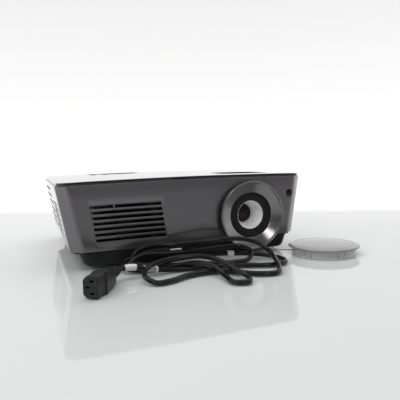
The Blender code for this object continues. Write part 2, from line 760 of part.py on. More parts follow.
def grip_ring(name, y):
    """A ring that turns on the lens barrel, with its origin on the lens axis."""
    inner = CORE_RADIUS + RUNNING
    long = y[1] - y[0]
    chamfer = 0.0012
    profile = [
        (GRIP_RADIUS - chamfer, long), (GRIP_RADIUS, long - chamfer), (GRIP_RADIUS, chamfer),
        (GRIP_RADIUS - chamfer, 0), (inner, 0), (inner, long),
    ]
    return turned(name, profile, (LENS_X, y[1], LENS_Z), FORWARD, MATTE_BLACK)


def make_grips():
    grip_ring("focus_ring", FOCUS_Y)
    zoom = grip_ring("zoom_ring", ZOOM_Y)
    middle = sum(ZOOM_Y) / 2
    lever = block("zoom_lever", (-0.0035, 0.0035), (middle - 0.005, middle + 0.005),
                  (GRIP_RADIUS - 0.002, LEVER_REACH), radius=0.002, along=1, segments=2)
    lever.rotation_euler = (0, radians(LEVER_TILT), 0)
    lever.location = (LENS_X, 0, LENS_Z)
    join(zoom, lever)


# ---- Light engine and lamp ----


def make_engine():
    hollow_wall = 0.003
    outer = (ENGINE_X, ENGINE_Y, (INSIDE, ENGINE_TOP))
    engine = block("engine_housing", *outer, METAL)
    cut(engine, block("engine_hollow", *((a + hollow_wall, b - hollow_wall) for a, b in outer)))
    cut(engine, rod("engine_mouth", (LENS_X, ENGINE_Y[0] - 0.01, LENS_Z),
                    (LENS_X, ENGINE_Y[0] + 0.01, LENS_Z), CORE_BORE))
    chip = ((LENS_X - 0.014, LENS_X + 0.014), (ENGINE_Y[1] - 0.01, ENGINE_Y[1] + 0.01),
            (LENS_Z - 0.010, LENS_Z + 0.010))
    cut(engine, block("chip_hole", *chip))
    beam = [(BEAM_Y - TUNNEL_SIZE[0] / 2, BEAM_Y + TUNNEL_SIZE[0] / 2),
            (LENS_Z - TUNNEL_SIZE[1] / 2, LENS_Z + TUNNEL_SIZE[1] / 2)]
    roomy = [(a - GAP, b + GAP) for a, b in beam]
    cut(engine, block("tunnel_hole", (ENGINE_X[0] - 0.01, ENGINE_X[0] + 0.01), *roomy))
    tunnel = block("light_tunnel", (WHEEL_X + 0.0030, ENGINE_X[0] + 0.008), *beam, METAL)
    inside = [(a + 0.0010, b - 0.0010) for a, b in beam]
    cut(tunnel, block("tunnel_hollow", (WHEEL_X - 0.01, ENGINE_X[0] + 0.02), *inside))
    board_y = (ENGINE_Y[1] + GAP, ENGINE_Y[1] + GAP + BOARD_THICKNESS)
    block("dmd_board", (LENS_X - 0.030, LENS_X + 0.026), board_y, (LENS_Z - 0.028, LENS_Z + 0.028), BOARD)
    sink_x = (LENS_X - 0.024, LENS_X + 0.022)
    sink = block("dmd_heatsink", sink_x, (board_y[1] + GAP, board_y[1] + 0.026),
                 (LENS_Z - 0.022, LENS_Z + 0.022), METAL)
    for x in spaced(sink_x[0] + 0.0035, 7, 0.006):
        gap = block(f"sink_gap_{x:.4f}", (x, x + 0.0035), (board_y[1] + 0.0035, board_y[1] + 0.05),
                    (LENS_Z - 0.05, LENS_Z + 0.05))
        cut(sink, gap)


def make_colour_wheel():
    middle = (WHEEL_X, BEAM_Y, LENS_Z + WHEEL_OFFSET)
    wheel_profile = [(0, 0.0006), (WHEEL_RADIUS, 0.0006), (WHEEL_RADIUS, -0.0006), (0, -0.0006)]
    wheel = turned("color_wheel", wheel_profile, middle, SIDEWAYS, GLASS, closed=False)
    spindle = rod("wheel_spindle", middle, (WHEEL_X + 0.008, *middle[1:]), 0.0020, sides=12)
    join(wheel, spindle)
    start = WHEEL_X + 0.0012
    motor = rod("wheel_motor", (start, *middle[1:]), (start + 0.012, *middle[1:]), MOTOR_RADIUS, METAL)
    arm = block("motor_arm", (start + 0.010, ENGINE_X[0] - GAP), (BEAM_Y - 0.004, BEAM_Y + 0.004),
                (middle[2] - 0.004, middle[2] + 0.004))
    join(motor, arm)
    cut(motor, rod("motor_bore", (start - 0.01, *middle[1:]), (start + 0.009, *middle[1:]), 0.0023, sides=12))


def make_lamp():
    wall = 0.002
    outer = (LAMP_X, LAMP_Y, (INSIDE, LAMP_TOP))
    housing = block("lamp_housing", *outer, MATTE_BLACK)
    cut(housing, block("lamp_hollow", *((a + wall, b - wall) for a, b in outer)))
    right, left = LAMP_X[1], LAMP_X[0]
    cut(housing, rod("beam_hole", (right - 0.01, BEAM_Y, LENS_Z), (right + 0.01, BEAM_Y, LENS_Z), 0.023))
    cut(housing, block("lamp_vent", (left - 0.01, left + 0.01), (BEAM_Y - 0.025, BEAM_Y + 0.025),
                       (LENS_Z - 0.020, LENS_Z + 0.020)))
    rim = right - wall - GAP
    depth = 0.034
    base = (rim - depth, BEAM_Y, LENS_Z)
    skin = 0.0015
    slope = [(0.007, 0.002), (0.014, 0.007), (0.021, 0.018), (REFLECTOR_RADIUS, depth)]
    outside = [(radius, height) for radius, height in reversed(slope)]
    inside = [(radius - skin, height + skin * (height < depth)) for radius, height in slope]
    turned("lamp_reflector", outside + inside, base, SIDEWAYS, GLASS, steps=28)
    burner = [(0, 0.022), (0.0025, 0.021), (0.0028, 0.012), (0.0050, 0.008), (0.0050, 0.004),
              (0.0028, 0.000), (0.0052, -0.0005), (0.0052, -0.022), (0, -0.022)]
    turned("lamp_burner", burner, base, SIDEWAYS, GLASS, steps=16, closed=False)


# ---- Cooling ----


def blades(name, count, inner, outer, depth, tilt):
    """Fan blades about +Z, in one mesh, each pitched by tilt degrees."""
    bm = bmesh.new()
    for i in range(count):
        made = bmesh.ops.create_cube(bm, size=1)["verts"]
        bmesh.ops.scale(bm, vec=(outer - inner, 0.0016, depth), verts=made)
        pitch = Matrix.Rotation(radians(tilt), 4, "X")
        out = Matrix.Translation(((outer + inner) / 2, 0, 0))
        bmesh.ops.transform(bm, matrix=Matrix.Rotation(2 * pi * i / count, 4, "Z") @ out @ pitch, verts=made)
    return finish_mesh(name, bm, None)


def axial_fan(name, centre, turn, size, depth):
    """A fan about its own +Z: the frame with its hub bracket, and the rotor with its origin on the axis."""
    half = size / 2
    frame = block(name + "_frame", (-half, half), (-half, half), (-depth / 2, depth / 2), MATTE_BLACK,
                  radius=0.004, segments=2)
    bore = half - FAN_WALL
    cut(frame, rod(name + "_bore", (0, 0, -depth), (0, 0, depth), bore, sides=32))
    hub = 0.19 * size
    bracket = rod(name + "_bracket", (0, 0, -depth / 2), (0, 0, -depth / 2 + 0.0025), hub)
    arms = [block(f"{name}_arm_{i}", *pair, (-depth / 2, -depth / 2 + 0.0022)) for i, pair in
            enumerate((((-half + 0.001, half - 0.001), (-0.0025, 0.0025)),
                       ((-0.0025, 0.0025), (-half + 0.001, half - 0.001))))]
    join(frame, bracket, *arms)
    rotor = rod(name + "_rotor", (0, 0, -depth / 2 + 0.0025 + GAP), (0, 0, depth / 2 - 0.002), hub - 0.001,
                MATTE_BLACK)
    join(rotor, blades(name + "_blades", 7, hub - 0.003, bore - 0.0015, 0.6 * depth, 38))
    for obj in PARTS.objects[:] + CUTTERS.objects[:]:
        if obj.name.startswith(name + "_"):
            obj.location = centre
            obj.rotation_euler = turn


def make_fans():
    middle = INSIDE + FAN_SIZE / 2
    axial_fan("exhaust_fan", (FAN_X, FRONT_Y + 0.0052 + FAN_DEPTH / 2, middle), FORWARD, FAN_SIZE, FAN_DEPTH)
    intake = (INTAKE_X, INTAKE_Y, INSIDE + INTAKE_SIZE / 2)
    axial_fan("intake_fan", intake, SIDEWAYS, INTAKE_SIZE, INTAKE_DEPTH)
    half = BLOWER_SIZE / 2
    centre = Vector((BLOWER_X, BLOWER_Y, INSIDE + half))
    y = (BLOWER_Y - BLOWER_DEPTH / 2, BLOWER_Y + BLOWER_DEPTH / 2)
    housing = block("lamp_blower_housing", (BLOWER_X - half, BLOWER_X + half), y,
                    (INSIDE, INSIDE + BLOWER_SIZE), MATTE_BLACK, radius=0.006, along=1)
    drum = 0.0200
    cut(housing, rod("blower_bore", centre - Vector((0, BLOWER_DEPTH, 0)),
                     centre + Vector((0, BLOWER_DEPTH / 2 - 0.0015, 0)), drum))
    outlet = block("blower_outlet", (BLOWER_X, BLOWER_X + 0.016), (y[0] + 0.002, y[1] - 0.002),
                   (centre.z, INSIDE + BLOWER_SIZE + 0.01))
    cut(housing, outlet)
    back = BLOWER_DEPTH / 2 - 0.0015 - GAP
    front = BLOWER_DEPTH / 2 - 0.002
    cup = [(0, 0.0015 - back), (drum - 0.0035, 0.0015 - back), (drum - 0.0035, front),
           (drum - 0.0012, front), (drum - 0.0012, -back), (0, -back)]
    turned("lamp_blower_rotor", cup, centre, FORWARD, MATTE_BLACK, steps=24, closed=False)


# ---- Boards and sockets ----


def make_boards():
    top = MAIN_BOARD_Z + BOARD_THICKNESS
    main = block("main_board", MAIN_BOARD_X, MAIN_BOARD_Y, (MAIN_BOARD_Z, top), BOARD)
    front = MAIN_BOARD_Y[0]
    chips = [(-0.030, 0.016, 0.032, 0.006), (0.030, 0.024, 0.020, 0.003), (-0.075, 0.009, 0.020, 0.003)]
    for i, (left, back, side, high) in enumerate(chips):
        x, y = (left, left + side), (front + back, front + back + side)
        join(main, block(f"chip_{i}", x, y, (top - 0.0005, top + high)))
    supply_top = SUPPLY_Z + BOARD_THICKNESS
    supply = block("power_supply", SUPPLY_X, SUPPLY_Y, (SUPPLY_Z, supply_top), BOARD)
    x0, y0 = SUPPLY_X[0], SUPPLY_Y[0]
    low = supply_top - 0.0005
    transformer = block("transformer", (x0 + 0.010, x0 + 0.044), (y0 + 0.060, y0 + 0.092),
                        (low, low + 0.030))
    sink = block("supply_sink", (x0 + 0.046, x0 + 0.049), (y0 + 0.020, y0 + 0.140), (low, low + 0.026))
    join(supply, transformer, sink)
    for i, y in enumerate((y0 + 0.024, y0 + 0.120)):
        can = rod(f"capacitor_{i}", (x0 + 0.022, y, low), (x0 + 0.022, y, low + 0.028), 0.011, sides=20)
        join(supply, can)
    ballast_z = (TRAY_FLOOR + CEILING_BOSS_HEIGHT + GAP, TRAY_FLOOR + 0.036)
    block("lamp_ballast", BALLAST_X, BALLAST_Y, ballast_z, SILVER, radius=0.002, segments=2)
    speaker = [(0.006, 0.022), (SPEAKER_RADIUS * 0.6, 0.022), (SPEAKER_RADIUS * 0.6, 0.010),
               (SPEAKER_RADIUS, 0.003), (SPEAKER_RADIUS, 0), (SPEAKER_RADIUS - 0.002, 0), (0.006, 0.008)]
    turned("speaker", speaker, (*SPEAKER_AT, INSIDE), (0, 0, 0), MATTE_BLACK, steps=28)


def socket_sides(spec, grow=0.0):
    """The x and z extents of a socket that stands on the main board."""
    middle, width, height = spec
    low = MAIN_BOARD_Z + BOARD_THICKNESS + GAP
    return ((middle - width / 2 - grow, middle + width / 2 + grow), (low - grow, low + height + grow))


def socket_block(name, spec, material):
    x, z = socket_sides(spec)
    return block(name, x, (REAR_Y - SOCKET_DEPTH, REAR_Y + 0.0006), z, material)


def make_sockets():
    out = (REAR_Y - 0.012, REAR_Y + 0.01)
    lan = socket_block("lan_socket", LAN_SOCKET, METAL)
    x, z = socket_sides(LAN_SOCKET, -0.0021)
    cut(lan, block("lan_cavity", x, out, (z[0] + 0.001, z[1] - 0.0005)))
    hdmi = socket_block("hdmi_socket", HDMI_SOCKET, METAL)
    x, z = socket_sides(HDMI_SOCKET, -0.0006)
    cut(hdmi, block("hdmi_cavity", x, (REAR_Y - 0.010, out[1]), z))
    middle = sum(z) / 2
    join(hdmi, block("hdmi_tongue", (x[0] + 0.002, x[1] - 0.002), (REAR_Y - 0.012, REAR_Y - 0.001),
                     (middle - 0.0006, middle + 0.0006)))
    vga = socket_block("vga_socket", VGA_SOCKET, METAL)
    x, z = socket_sides(VGA_SOCKET, -0.0020)
    shell_x = (x[0] + 0.0052, x[1] - 0.0052)
    join(vga, block("vga_shell", shell_x, (REAR_Y - 0.002, REAR_Y + 0.0060), z, radius=0.003, along=1))
    cut(vga, block("vga_recess", (shell_x[0] + 0.0008, shell_x[1] - 0.0008), (REAR_Y + 0.0008, REAR_Y + 0.02),
                   (z[0] + 0.0008, z[1] - 0.0008), radius=0.0024, along=1))
    middle = sum(z) / 2
    for i, post_x in enumerate((x[0] + 0.0016, x[1] - 0.0016)):
        ends = ((post_x, REAR_Y - 0.002, middle), (post_x, REAR_Y + 0.0050, middle))
        join(vga, rod(f"vga_post_{i}", *ends, 0.0026, sides=6))
    audio = socket_block("audio_sockets", AUDIO_SOCKET, GLOSS_BLACK)
    x, z = socket_sides(AUDIO_SOCKET)
    for place in spaced(x[0] + 0.006, 3, 0.012):
        start = (place, REAR_Y - 0.002, sum(z) / 2)
        join(audio, rod(f"jack_{place:.4f}", start, (place, REAR_Y + 0.0022, start[2]), 0.0040, sides=20))
        cut(audio, rod(f"jack_hole_{place:.4f}", (place, REAR_Y - 0.012, start[2]),
                       (place, REAR_Y + 0.01, start[2]), 0.0018, sides=12))
    sheet = (REAR_Y - 0.0022, REAR_Y - 0.0004)
    trimmed = [(a + GAP, b - GAP) for a, b in (PLATE_X, PLATE_Z)]
    rear = block("rear_io_plate", trimmed[0], sheet, trimmed[1], MATTE_BLACK)
    for i, spec in enumerate((LAN_SOCKET, HDMI_SOCKET, VGA_SOCKET, AUDIO_SOCKET)):
        x, z = socket_sides(spec, GAP)
        cut(rear, block(f"plate_hole_{i}", x, (REAR_Y - 0.01, REAR_Y + 0.01), z))


def inlet_body(grow):
    """The x and z extents of the power inlet's body, behind its flange."""
    width, height = (side + 0.0030 + 2 * grow for side in INLET_CAVITY)
    return ((INLET_X - width / 2, INLET_X + width / 2), (INLET_Z - height / 2, INLET_Z + height / 2))


def make_inlet():
    x, z = inlet_body(0)
    inlet = block("ac_inlet", x, (REAR_Y - 0.021, REAR_Y + 0.001), z, MATTE_BLACK)
    flange_x, flange_z = (INLET_FLANGE[0] / 2, INLET_FLANGE[1] / 2)
    face = REAR_Y + INLET_FLANGE_THICKNESS
    join(inlet, block("inlet_flange", (INLET_X - flange_x, INLET_X + flange_x), (REAR_Y + GAP, face),
                      (INLET_Z - flange_z, INLET_Z + flange_z), radius=0.002, along=1))
    half_x, half_z = (side / 2 for side in INLET_CAVITY)
    back = face - INLET_DEPTH
    cut(inlet, block("inlet_cavity", (INLET_X - half_x, INLET_X + half_x), (back, REAR_Y + 0.02),
                     (INLET_Z - half_z, INLET_Z + half_z), radius=0.003, along=1))
    for i, (dx, dz) in enumerate(((-0.007, -0.002), (0.007, -0.002), (0, 0.002))):
        x, z = INLET_X + dx, INLET_Z + dz
        join(inlet, block(f"inlet_pin_{i}", (x - 0.001, x + 0.001), (back - 0.002, REAR_Y - 0.002),
                          (z - 0.002, z + 0.002)))


# ---- Keypad ----


def keypad_top():
    return COVER_Z[1] + CROWN + GAP


def keypad_sides(grow):
    half_x, half_y = KEYPAD_SIZE[0] / 2 + grow, KEYPAD_SIZE[1] / 2 + grow
    return ((KEYPAD_X - half_x, KEYPAD_X + half_x), (KEYPAD_Y - half_y, KEYPAD_Y + half_y))


def make_keypad():
    panel = block("keypad_panel", *keypad_sides(0), (KEYPAD_FLOOR, keypad_top()), GLOSS_BLACK, radius=0.004,
                  segments=2)
    sides = keypad_sides(0.003)
    under = COVER_Z[0] + crown(sides[0][0]) - 0.0005
    join(panel, block("keypad_flange", *sides, (KEYPAD_FLOOR, under)))
    pocket = KEYPAD_FLOOR + 0.0012
    start = pocket + KEY_TRAVEL + 0.0004
    for name, (dx, dy) in KEYS.items():
        x, y = KEYPAD_X + dx, KEYPAD_Y + dy
        cut(panel, rod(name + "_pocket", (x, y, pocket), (x, y, 0.2), KEY_RADIUS + GAP, sides=16))
        key = rod(name, (x, y, start), (x, y, keypad_top() + KEY_RISE), KEY_RADIUS, GLOSS_BLACK, sides=16)
        set_origin(key, (x, y, start))
    x, y = KEYPAD_X + LIGHTS_AT[0], KEYPAD_Y + LIGHTS_AT[1]
    half_x, half_y = LIGHTS_SIZE[0] / 2, LIGHTS_SIZE[1] / 2
    low = pocket + 0.003
    cut(panel, block("light_pocket", (x - half_x - GAP, x + half_x + GAP),
                     (y - half_y - GAP, y + half_y + GAP), (low, 0.2), radius=0.0018))
    block("keypad_light", (x - half_x, x + half_x), (y - half_y, y + half_y),
          (low + GAP, keypad_top() + 0.0002), CLEAR, radius=0.0016)


# ---- Feet ----


def release_sides():
    front = FRONT_Y + TRAY_SETBACK - RELEASE_PROUD
    return ((-RELEASE_WIDTH / 2, RELEASE_WIDTH / 2), (front, front + RELEASE_LENGTH),
            (RELEASE_Z - RELEASE_HEIGHT / 2, RELEASE_Z + RELEASE_HEIGHT / 2))


def make_feet():
    foot = rod("front_foot", (0, 0, 0), (0, 0, FOOT_PAD), FOOT_RADIUS, RUBBER, sides=28)
    join(foot, rod("foot_stem", (0, 0, FOOT_PAD - 0.001), (0, 0, FOOT_STEM_TOP), FOOT_STEM))
    release = block("foot_release_button", *release_sides(), MATTE_BLACK, radius=0.0015, along=1, segments=2)
    set_origin(release, (0, release_sides()[1][0], RELEASE_Z))
    pad_top = TRAY_BOTTOM - GAP
    left = (-REAR_FOOT_X, REAR_FOOT_Y)
    rod("rear_foot_pad", (*left, 0), (*left, pad_top), REAR_FOOT_RADIUS, RUBBER)
    right = (REAR_FOOT_X, REAR_FOOT_Y)
    knob = rod("rear_foot_knob", (*right, 0), (*right, pad_top), REAR_FOOT_RADIUS, RUBBER)
    cut(knob, rod("knob_seat", (*right, pad_top - 0.0015), (*right, 0.02), SCREW_RADIUS + GAP, sides=20))
    set_origin(knob, (*right, 0))
    screw = rod("rear_foot_screw", (*right, pad_top - 0.0015 + GAP), (*right, SCREW_TOP), SCREW_RADIUS, METAL,
                sides=20)
    set_origin(screw, (*right, pad_top))


# ---- Lens cap ----


def make_cap():
    low = CAP_SKIRT_HEIGHT + GAP
    top = low + CAP_FACE
    rim = CAP_RADIUS
    face = [(0, top + CAP_DOME), (0.45 * rim, top + 0.8 * CAP_DOME), (0.82 * rim, top + 0.32 * CAP_DOME),
            (0.97 * rim, top), (rim, top - 0.0010), (rim - 0.0004, low), (0, low)]
    turned("lens_cap_face", face, (*CAP_AT, 0), (0, 0, 0), CAP_GREY, steps=40, closed=False)
    outer, inner = CAP_SKIRT_RADIUS, CAP_SKIRT_RADIUS - CAP_SKIRT_WALL
    ring = [(outer, CAP_SKIRT_HEIGHT), (outer, 0), (inner, 0), (inner, CAP_SKIRT_HEIGHT)]
    skirt = turned("lens_cap_skirt", ring, (*CAP_AT, 0), (0, 0, 0), CLEAR, steps=40)
    for i, angle in enumerate((20, 32, 80, 92, 140, 152)):
        notch = block(f"cap_notch_{i}", (-0.06, 0.06), (-0.0006, 0.0006), (-0.01, 0.0075))
        notch.location = (*CAP_AT, 0)
        notch.rotation_euler = (0, 0, radians(angle))
        cut(skirt, notch)
    step = 3 * 2 * TETHER_RADIUS
    tube("lens_cap_tether", smooth_route(TETHER_ROUTE, step), TETHER_RADIUS, RUBBER, 2)


# ---- Power lead ----


def make_power_lead():
    heading = radians(CONNECTOR_HEADING)
    across, high = CONNECTOR_SIZE
    length = CONNECTOR_LENGTH
    body = block("power_connector", (-across / 2, across / 2), (0, length), (-high / 2, high / 2), RUBBER,
                 radius=0.0035, along=1, segments=2)
    boot = rod("connector_boot", (0, length - 0.003, 0), (0, length + BOOT_LENGTH, 0), 0.0070, sides=20,
               end_radius=0.0045)
    holes = [block(f"connector_hole_{i}", (x - 0.0012, x + 0.0012), (-0.01, 0.014), (z - 0.0022, z + 0.0022))
             for i, (x, z) in enumerate(((0.002, -0.007), (0.002, 0.007), (-0.003, 0)))]
    join(body, boot)
    cut(body, *holes)
    for obj in (body, boot, *holes):
        obj.location = CONNECTOR_FACE
        obj.rotation_euler = (0, 0, -heading)
    reach = length + BOOT_LENGTH + GAP
    start = Vector(CONNECTOR_FACE) + reach * Vector((sin(heading), cos(heading), 0))
    x, y, z = PLUG_END
    shoulder = x + PLUG_BOOT
    face = shoulder + PLUG_LENGTH
    half_y, half_z = (side / 2 for side in PLUG_SIZE)
    plug = block("mains_plug", (shoulder, face), (y - half_y, y + half_y), (z - half_z, z + half_z), RUBBER,
                 radius=0.004, along=0, segments=3)
    join(plug, rod("plug_boot", (x, y, z), (shoulder + 0.002, y, z), 0.0045, sides=20, end_radius=0.0078))
    for side in (-1, 1):
        blade_y = y + side * 0.00635
        join(plug, block(f"plug_blade_{side}", (face - 0.002, face + BLADE_LENGTH),
                         (blade_y - 0.00075, blade_y + 0.00075), (z - 0.0062, z + 0.0001)))
    join(plug, rod("plug_pin", (face - 0.002, y, z + 0.0062), (face + BLADE_LENGTH + 0.002, y, z + 0.0062),
                   0.0024, sides=12))
    leaving = start + CORD_STUB * Vector((sin(heading), cos(heading), 0))
    entering = Vector((x - GAP - CORD_STUB, y, z))
    loose = smooth_route([tuple(leaving), *CORD_ROUTE, tuple(entering)], CORD_STEP * CORD_DIAMETER)
    tube("power_cord", [start, *loose, (x - GAP, y, z)], CORD_DIAMETER / 2, RUBBER, 2)


make_shells()
make_covers()
make_tray()
make_lamp_door()
make_lens()
make_grips()
make_engine()
make_colour_wheel()
make_lamp()
make_fans()
make_boards()
make_sockets()
make_inlet()
make_keypad()
make_feet()
make_cap()
make_power_lead()
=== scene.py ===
"""A home projector with its power lead and lens cap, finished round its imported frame.

Metres. +X is the viewer's right, the lens looks along -Y, +Z is up and the table is z = 0.
"""

from math import ceil, cos, pi, radians, sin

import bmesh
import bpy
import numpy as np
from mathutils import Matrix, Vector


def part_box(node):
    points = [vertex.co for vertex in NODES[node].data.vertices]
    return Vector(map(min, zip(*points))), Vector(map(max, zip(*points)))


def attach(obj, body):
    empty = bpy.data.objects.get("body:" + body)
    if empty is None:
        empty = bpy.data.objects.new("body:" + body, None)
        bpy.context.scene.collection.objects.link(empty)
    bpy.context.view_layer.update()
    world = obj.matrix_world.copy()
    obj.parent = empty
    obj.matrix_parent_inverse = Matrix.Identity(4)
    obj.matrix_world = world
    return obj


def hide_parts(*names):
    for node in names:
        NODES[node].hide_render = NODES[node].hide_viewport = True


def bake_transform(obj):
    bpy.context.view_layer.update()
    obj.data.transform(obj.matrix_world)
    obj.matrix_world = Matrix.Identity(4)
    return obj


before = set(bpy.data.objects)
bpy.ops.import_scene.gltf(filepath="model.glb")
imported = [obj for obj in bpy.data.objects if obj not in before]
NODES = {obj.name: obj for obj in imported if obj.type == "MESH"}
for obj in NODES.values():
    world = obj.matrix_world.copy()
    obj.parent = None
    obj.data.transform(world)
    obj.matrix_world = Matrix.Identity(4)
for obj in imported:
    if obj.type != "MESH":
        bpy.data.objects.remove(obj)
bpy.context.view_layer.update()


# ---- Studio ----
# A wide glossy white table that runs out of view, under an even white room. The light comes from behind,
# the sides and above, and the side that the lens faces is darker, so the front panel reads as grey metal.

scene = bpy.context.scene
scene.view_settings.view_transform = "Standard"


def vector_basis(yaw, pitch, roll):
    """Right, up and back of a camera: yaw turns it from +Y towards +X, pitch tips it down, roll leans it."""
    ahead = np.array((sin(yaw) * cos(pitch), cos(yaw) * cos(pitch), -sin(pitch)))
    level = np.array((cos(yaw), -sin(yaw), 0.0))
    upright = np.cross(level, ahead)
    right = cos(roll) * level + sin(roll) * upright
    top = cos(roll) * upright - sin(roll) * level
    return np.stack([right, top, -ahead], axis=1)


CAMERA_AT = (-0.2279, -0.6543, 0.1536)
camera_lens = bpy.data.cameras.new("studio_camera")
camera_lens.sensor_width = 36
camera_lens.lens = 40.13
camera_lens.clip_start = 0.01
camera = bpy.data.objects.new("studio_camera", camera_lens)
camera_turn = Matrix(vector_basis(0.3695, 0.0966, -0.0271).tolist()).to_4x4()
camera.matrix_world = Matrix.Translation(CAMERA_AT) @ camera_turn
scene.collection.objects.link(camera)
scene.camera = camera


def linked(material, source, target):
    material.node_tree.links.new(source, target)


def add_node(tree, kind, **inputs):
    """A shader node with values on its inputs, which are named with spaces as underscores."""
    node = tree.nodes.new(kind)
    for name, value in inputs.items():
        node.inputs[name.replace("_", " ")].default_value = value
    return node


def white_room():
    """A background that grows from grey in front of the lens to white behind and overhead."""
    world = bpy.data.worlds.new("white_room")
    world.use_nodes = True
    tree = world.node_tree
    direction = tree.nodes.new("ShaderNodeTexCoord")
    apart = tree.nodes.new("ShaderNodeSeparateXYZ")
    tree.links.new(direction.outputs["Generated"], apart.inputs[0])
    share = add_node(tree, "ShaderNodeMapRange", From_Min=-0.92, From_Max=-0.25, To_Min=0.19, To_Max=1.0)
    share.interpolation_type = "SMOOTHSTEP"
    tree.links.new(apart.outputs["Y"], share.inputs["Value"])
    higher = add_node(tree, "ShaderNodeMapRange", From_Min=0.08, From_Max=0.34, To_Min=1.02, To_Max=0.87)
    tree.links.new(apart.outputs["Z"], higher.inputs["Value"])
    both = tree.nodes.new("ShaderNodeMath")
    both.operation = "MULTIPLY"
    tree.links.new(share.outputs[0], both.inputs[0])
    tree.links.new(higher.outputs[0], both.inputs[1])
    tree.links.new(both.outputs[0], tree.nodes["Background"].inputs["Strength"])
    tree.nodes["Background"].inputs["Color"].default_value = (1.0, 0.997, 0.997, 1)
    scene.world = world


def softbox(name, at, aim, size, power):
    light = bpy.data.lights.new(name, "AREA")
    light.shape = "RECTANGLE"
    light.size, light.size_y = size
    light.energy = power
    box = bpy.data.objects.new(name, light)
    box.location = at
    box.rotation_euler = (Vector(at) - Vector(aim)).to_track_quat("Z", "Y").to_euler()
    scene.collection.objects.link(box)
    return box


LENS_AIM = (0.0955, -0.04, 0.061)
white_room()
overhead = softbox("overhead_softbox", (-0.1, 0.3, 1.6), (0, 0.1, 0), (1.8, 1.4), 9)
left = softbox("left_softbox", (-1.5, -0.3, 0.8), (0, 0, 0.05), (1.3, 1.3), 5)
overhead.visible_glossy = left.visible_glossy = False  # only the room shows in the gloss
front_window = softbox("front_window", (0.005, -1.47, 0.70), LENS_AIM, (0.46, 0.40), 0.05)
front_window.data.spread = radians(20)  # it lights the lens and fades out before the left of the covers
lens_snoot = bpy.data.lights.new("lens_snoot", "SPOT")
lens_snoot.energy = 9
lens_snoot.spot_size = radians(4.2)
lens_snoot.spot_blend = 0.5
lens_snoot.shadow_soft_size = 0.02
snoot = bpy.data.objects.new("lens_snoot", lens_snoot)
snoot.location = (-0.35, -1.05, 0.42)
snoot.rotation_euler = (snoot.location - Vector(LENS_AIM)).to_track_quat("Z", "Y").to_euler()
scene.collection.objects.link(snoot)


def mesh_object(name, points, faces):
    mesh = bpy.data.meshes.new(name)
    mesh.from_pydata(np.asarray(points).reshape(-1, 3).tolist(), [], faces)
    obj = bpy.data.objects.new(name, mesh)
    scene.collection.objects.link(obj)
    return obj


TABLE_EDGE = (0.605, -0.597)  # where the table gives way to the white sweep: y = first + second * x


def table_top():
    """One flat sheet, far wider than the view: pale lacquer that gives way to a lit white sweep behind.

    Share of white = how far (y - first - second * x) has gone from nothing to SWEEP."""
    reach, drop, sweep = 18.0, -0.0002, 0.12
    corners = [(-reach, -reach, drop), (reach, -reach, drop), (reach, reach, drop), (-reach, reach, drop)]
    table = mesh_object("table_top", corners, [(0, 1, 2, 3)])
    paint = bpy.data.materials.new("white_lacquer")
    paint.use_nodes = True
    tree = paint.node_tree
    shader = tree.nodes["Principled BSDF"]
    across = tree.nodes.new("ShaderNodeVectorMath")
    across.operation = "DOT_PRODUCT"
    linked(paint, tree.nodes.new("ShaderNodeTexCoord").outputs["Object"], across.inputs[0])
    across.inputs[1].default_value = (-TABLE_EDGE[1], 1.0, 0.0)
    share = add_node(tree, "ShaderNodeMapRange", From_Min=TABLE_EDGE[0], From_Max=TABLE_EDGE[0] + sweep)
    linked(paint, across.outputs["Value"], share.inputs["Value"])
    for label, near, far in (("Base Color", (0.70, 0.715, 0.71, 1), (0.98, 0.98, 0.98, 1)),
                             ("Emission Color", (0, 0, 0, 1), (0.12, 0.12, 0.12, 1))):
        blend = tree.nodes.new("ShaderNodeMix")
        blend.data_type = "RGBA"
        blend.inputs["A"].default_value, blend.inputs["B"].default_value = near, far
        linked(paint, share.outputs[0], blend.inputs["Factor"])
        linked(paint, blend.outputs["Result"], shader.inputs[label])
    shader.inputs["Emission Strength"].default_value = 1.0
    shader.inputs["Roughness"].default_value = 0.05
    shader.inputs["IOR"].default_value = 1.5
    table.data.materials.append(paint)


table_top()


# ---- Surface effects that several finishes share ----
# Moulded plastic has a fine grain, handled gloss has faint smears, and both pick up a little dust from above.


def new_group(name, inputs, outputs):
    """An empty shader group; inputs and outputs are (name, socket type, value) triples."""
    group = bpy.data.node_groups.new(name, "ShaderNodeTree")
    for label, kind, value in inputs:
        socket = group.interface.new_socket(label, in_out="INPUT", socket_type=kind)
        socket.default_value = value
    for label, kind, _ in outputs:
        group.interface.new_socket(label, in_out="OUTPUT", socket_type=kind)
    return group, group.nodes.new("NodeGroupInput"), group.nodes.new("NodeGroupOutput")


def math_node(tree, operation, first, second):
    """A Math node; each operand is a number or an output socket."""
    node = tree.nodes.new("ShaderNodeMath")
    node.operation = operation
    for socket, value in zip(node.inputs, (first, second)):
        if isinstance(value, (int, float)):
            socket.default_value = value
        else:
            tree.links.new(value, socket)
    return node.outputs[0]


def make_grain_group():
    """Height of a moulded grain: fine noise with a little coarse waviness."""
    group, given, result = new_group(
        "moulded_grain",
        [("Vector", "NodeSocketVector", (0, 0, 0)), ("Scale", "NodeSocketFloat", 900.0),
         ("Waviness", "NodeSocketFloat", 0.3)],
        [("Height", "NodeSocketFloat", None)],
    )
    fine = add_node(group, "ShaderNodeTexNoise", Detail=3.0, Roughness=0.6)
    coarse = add_node(group, "ShaderNodeTexNoise", Detail=1.0, Scale=35.0)
    for noise in (fine, coarse):
        group.links.new(given.outputs["Vector"], noise.inputs["Vector"])
    group.links.new(given.outputs["Scale"], fine.inputs["Scale"])
    wave = math_node(group, "MULTIPLY", coarse.outputs[0], given.outputs["Waviness"])
    group.links.new(math_node(group, "ADD", fine.outputs[0], wave), result.inputs["Height"])
    return group


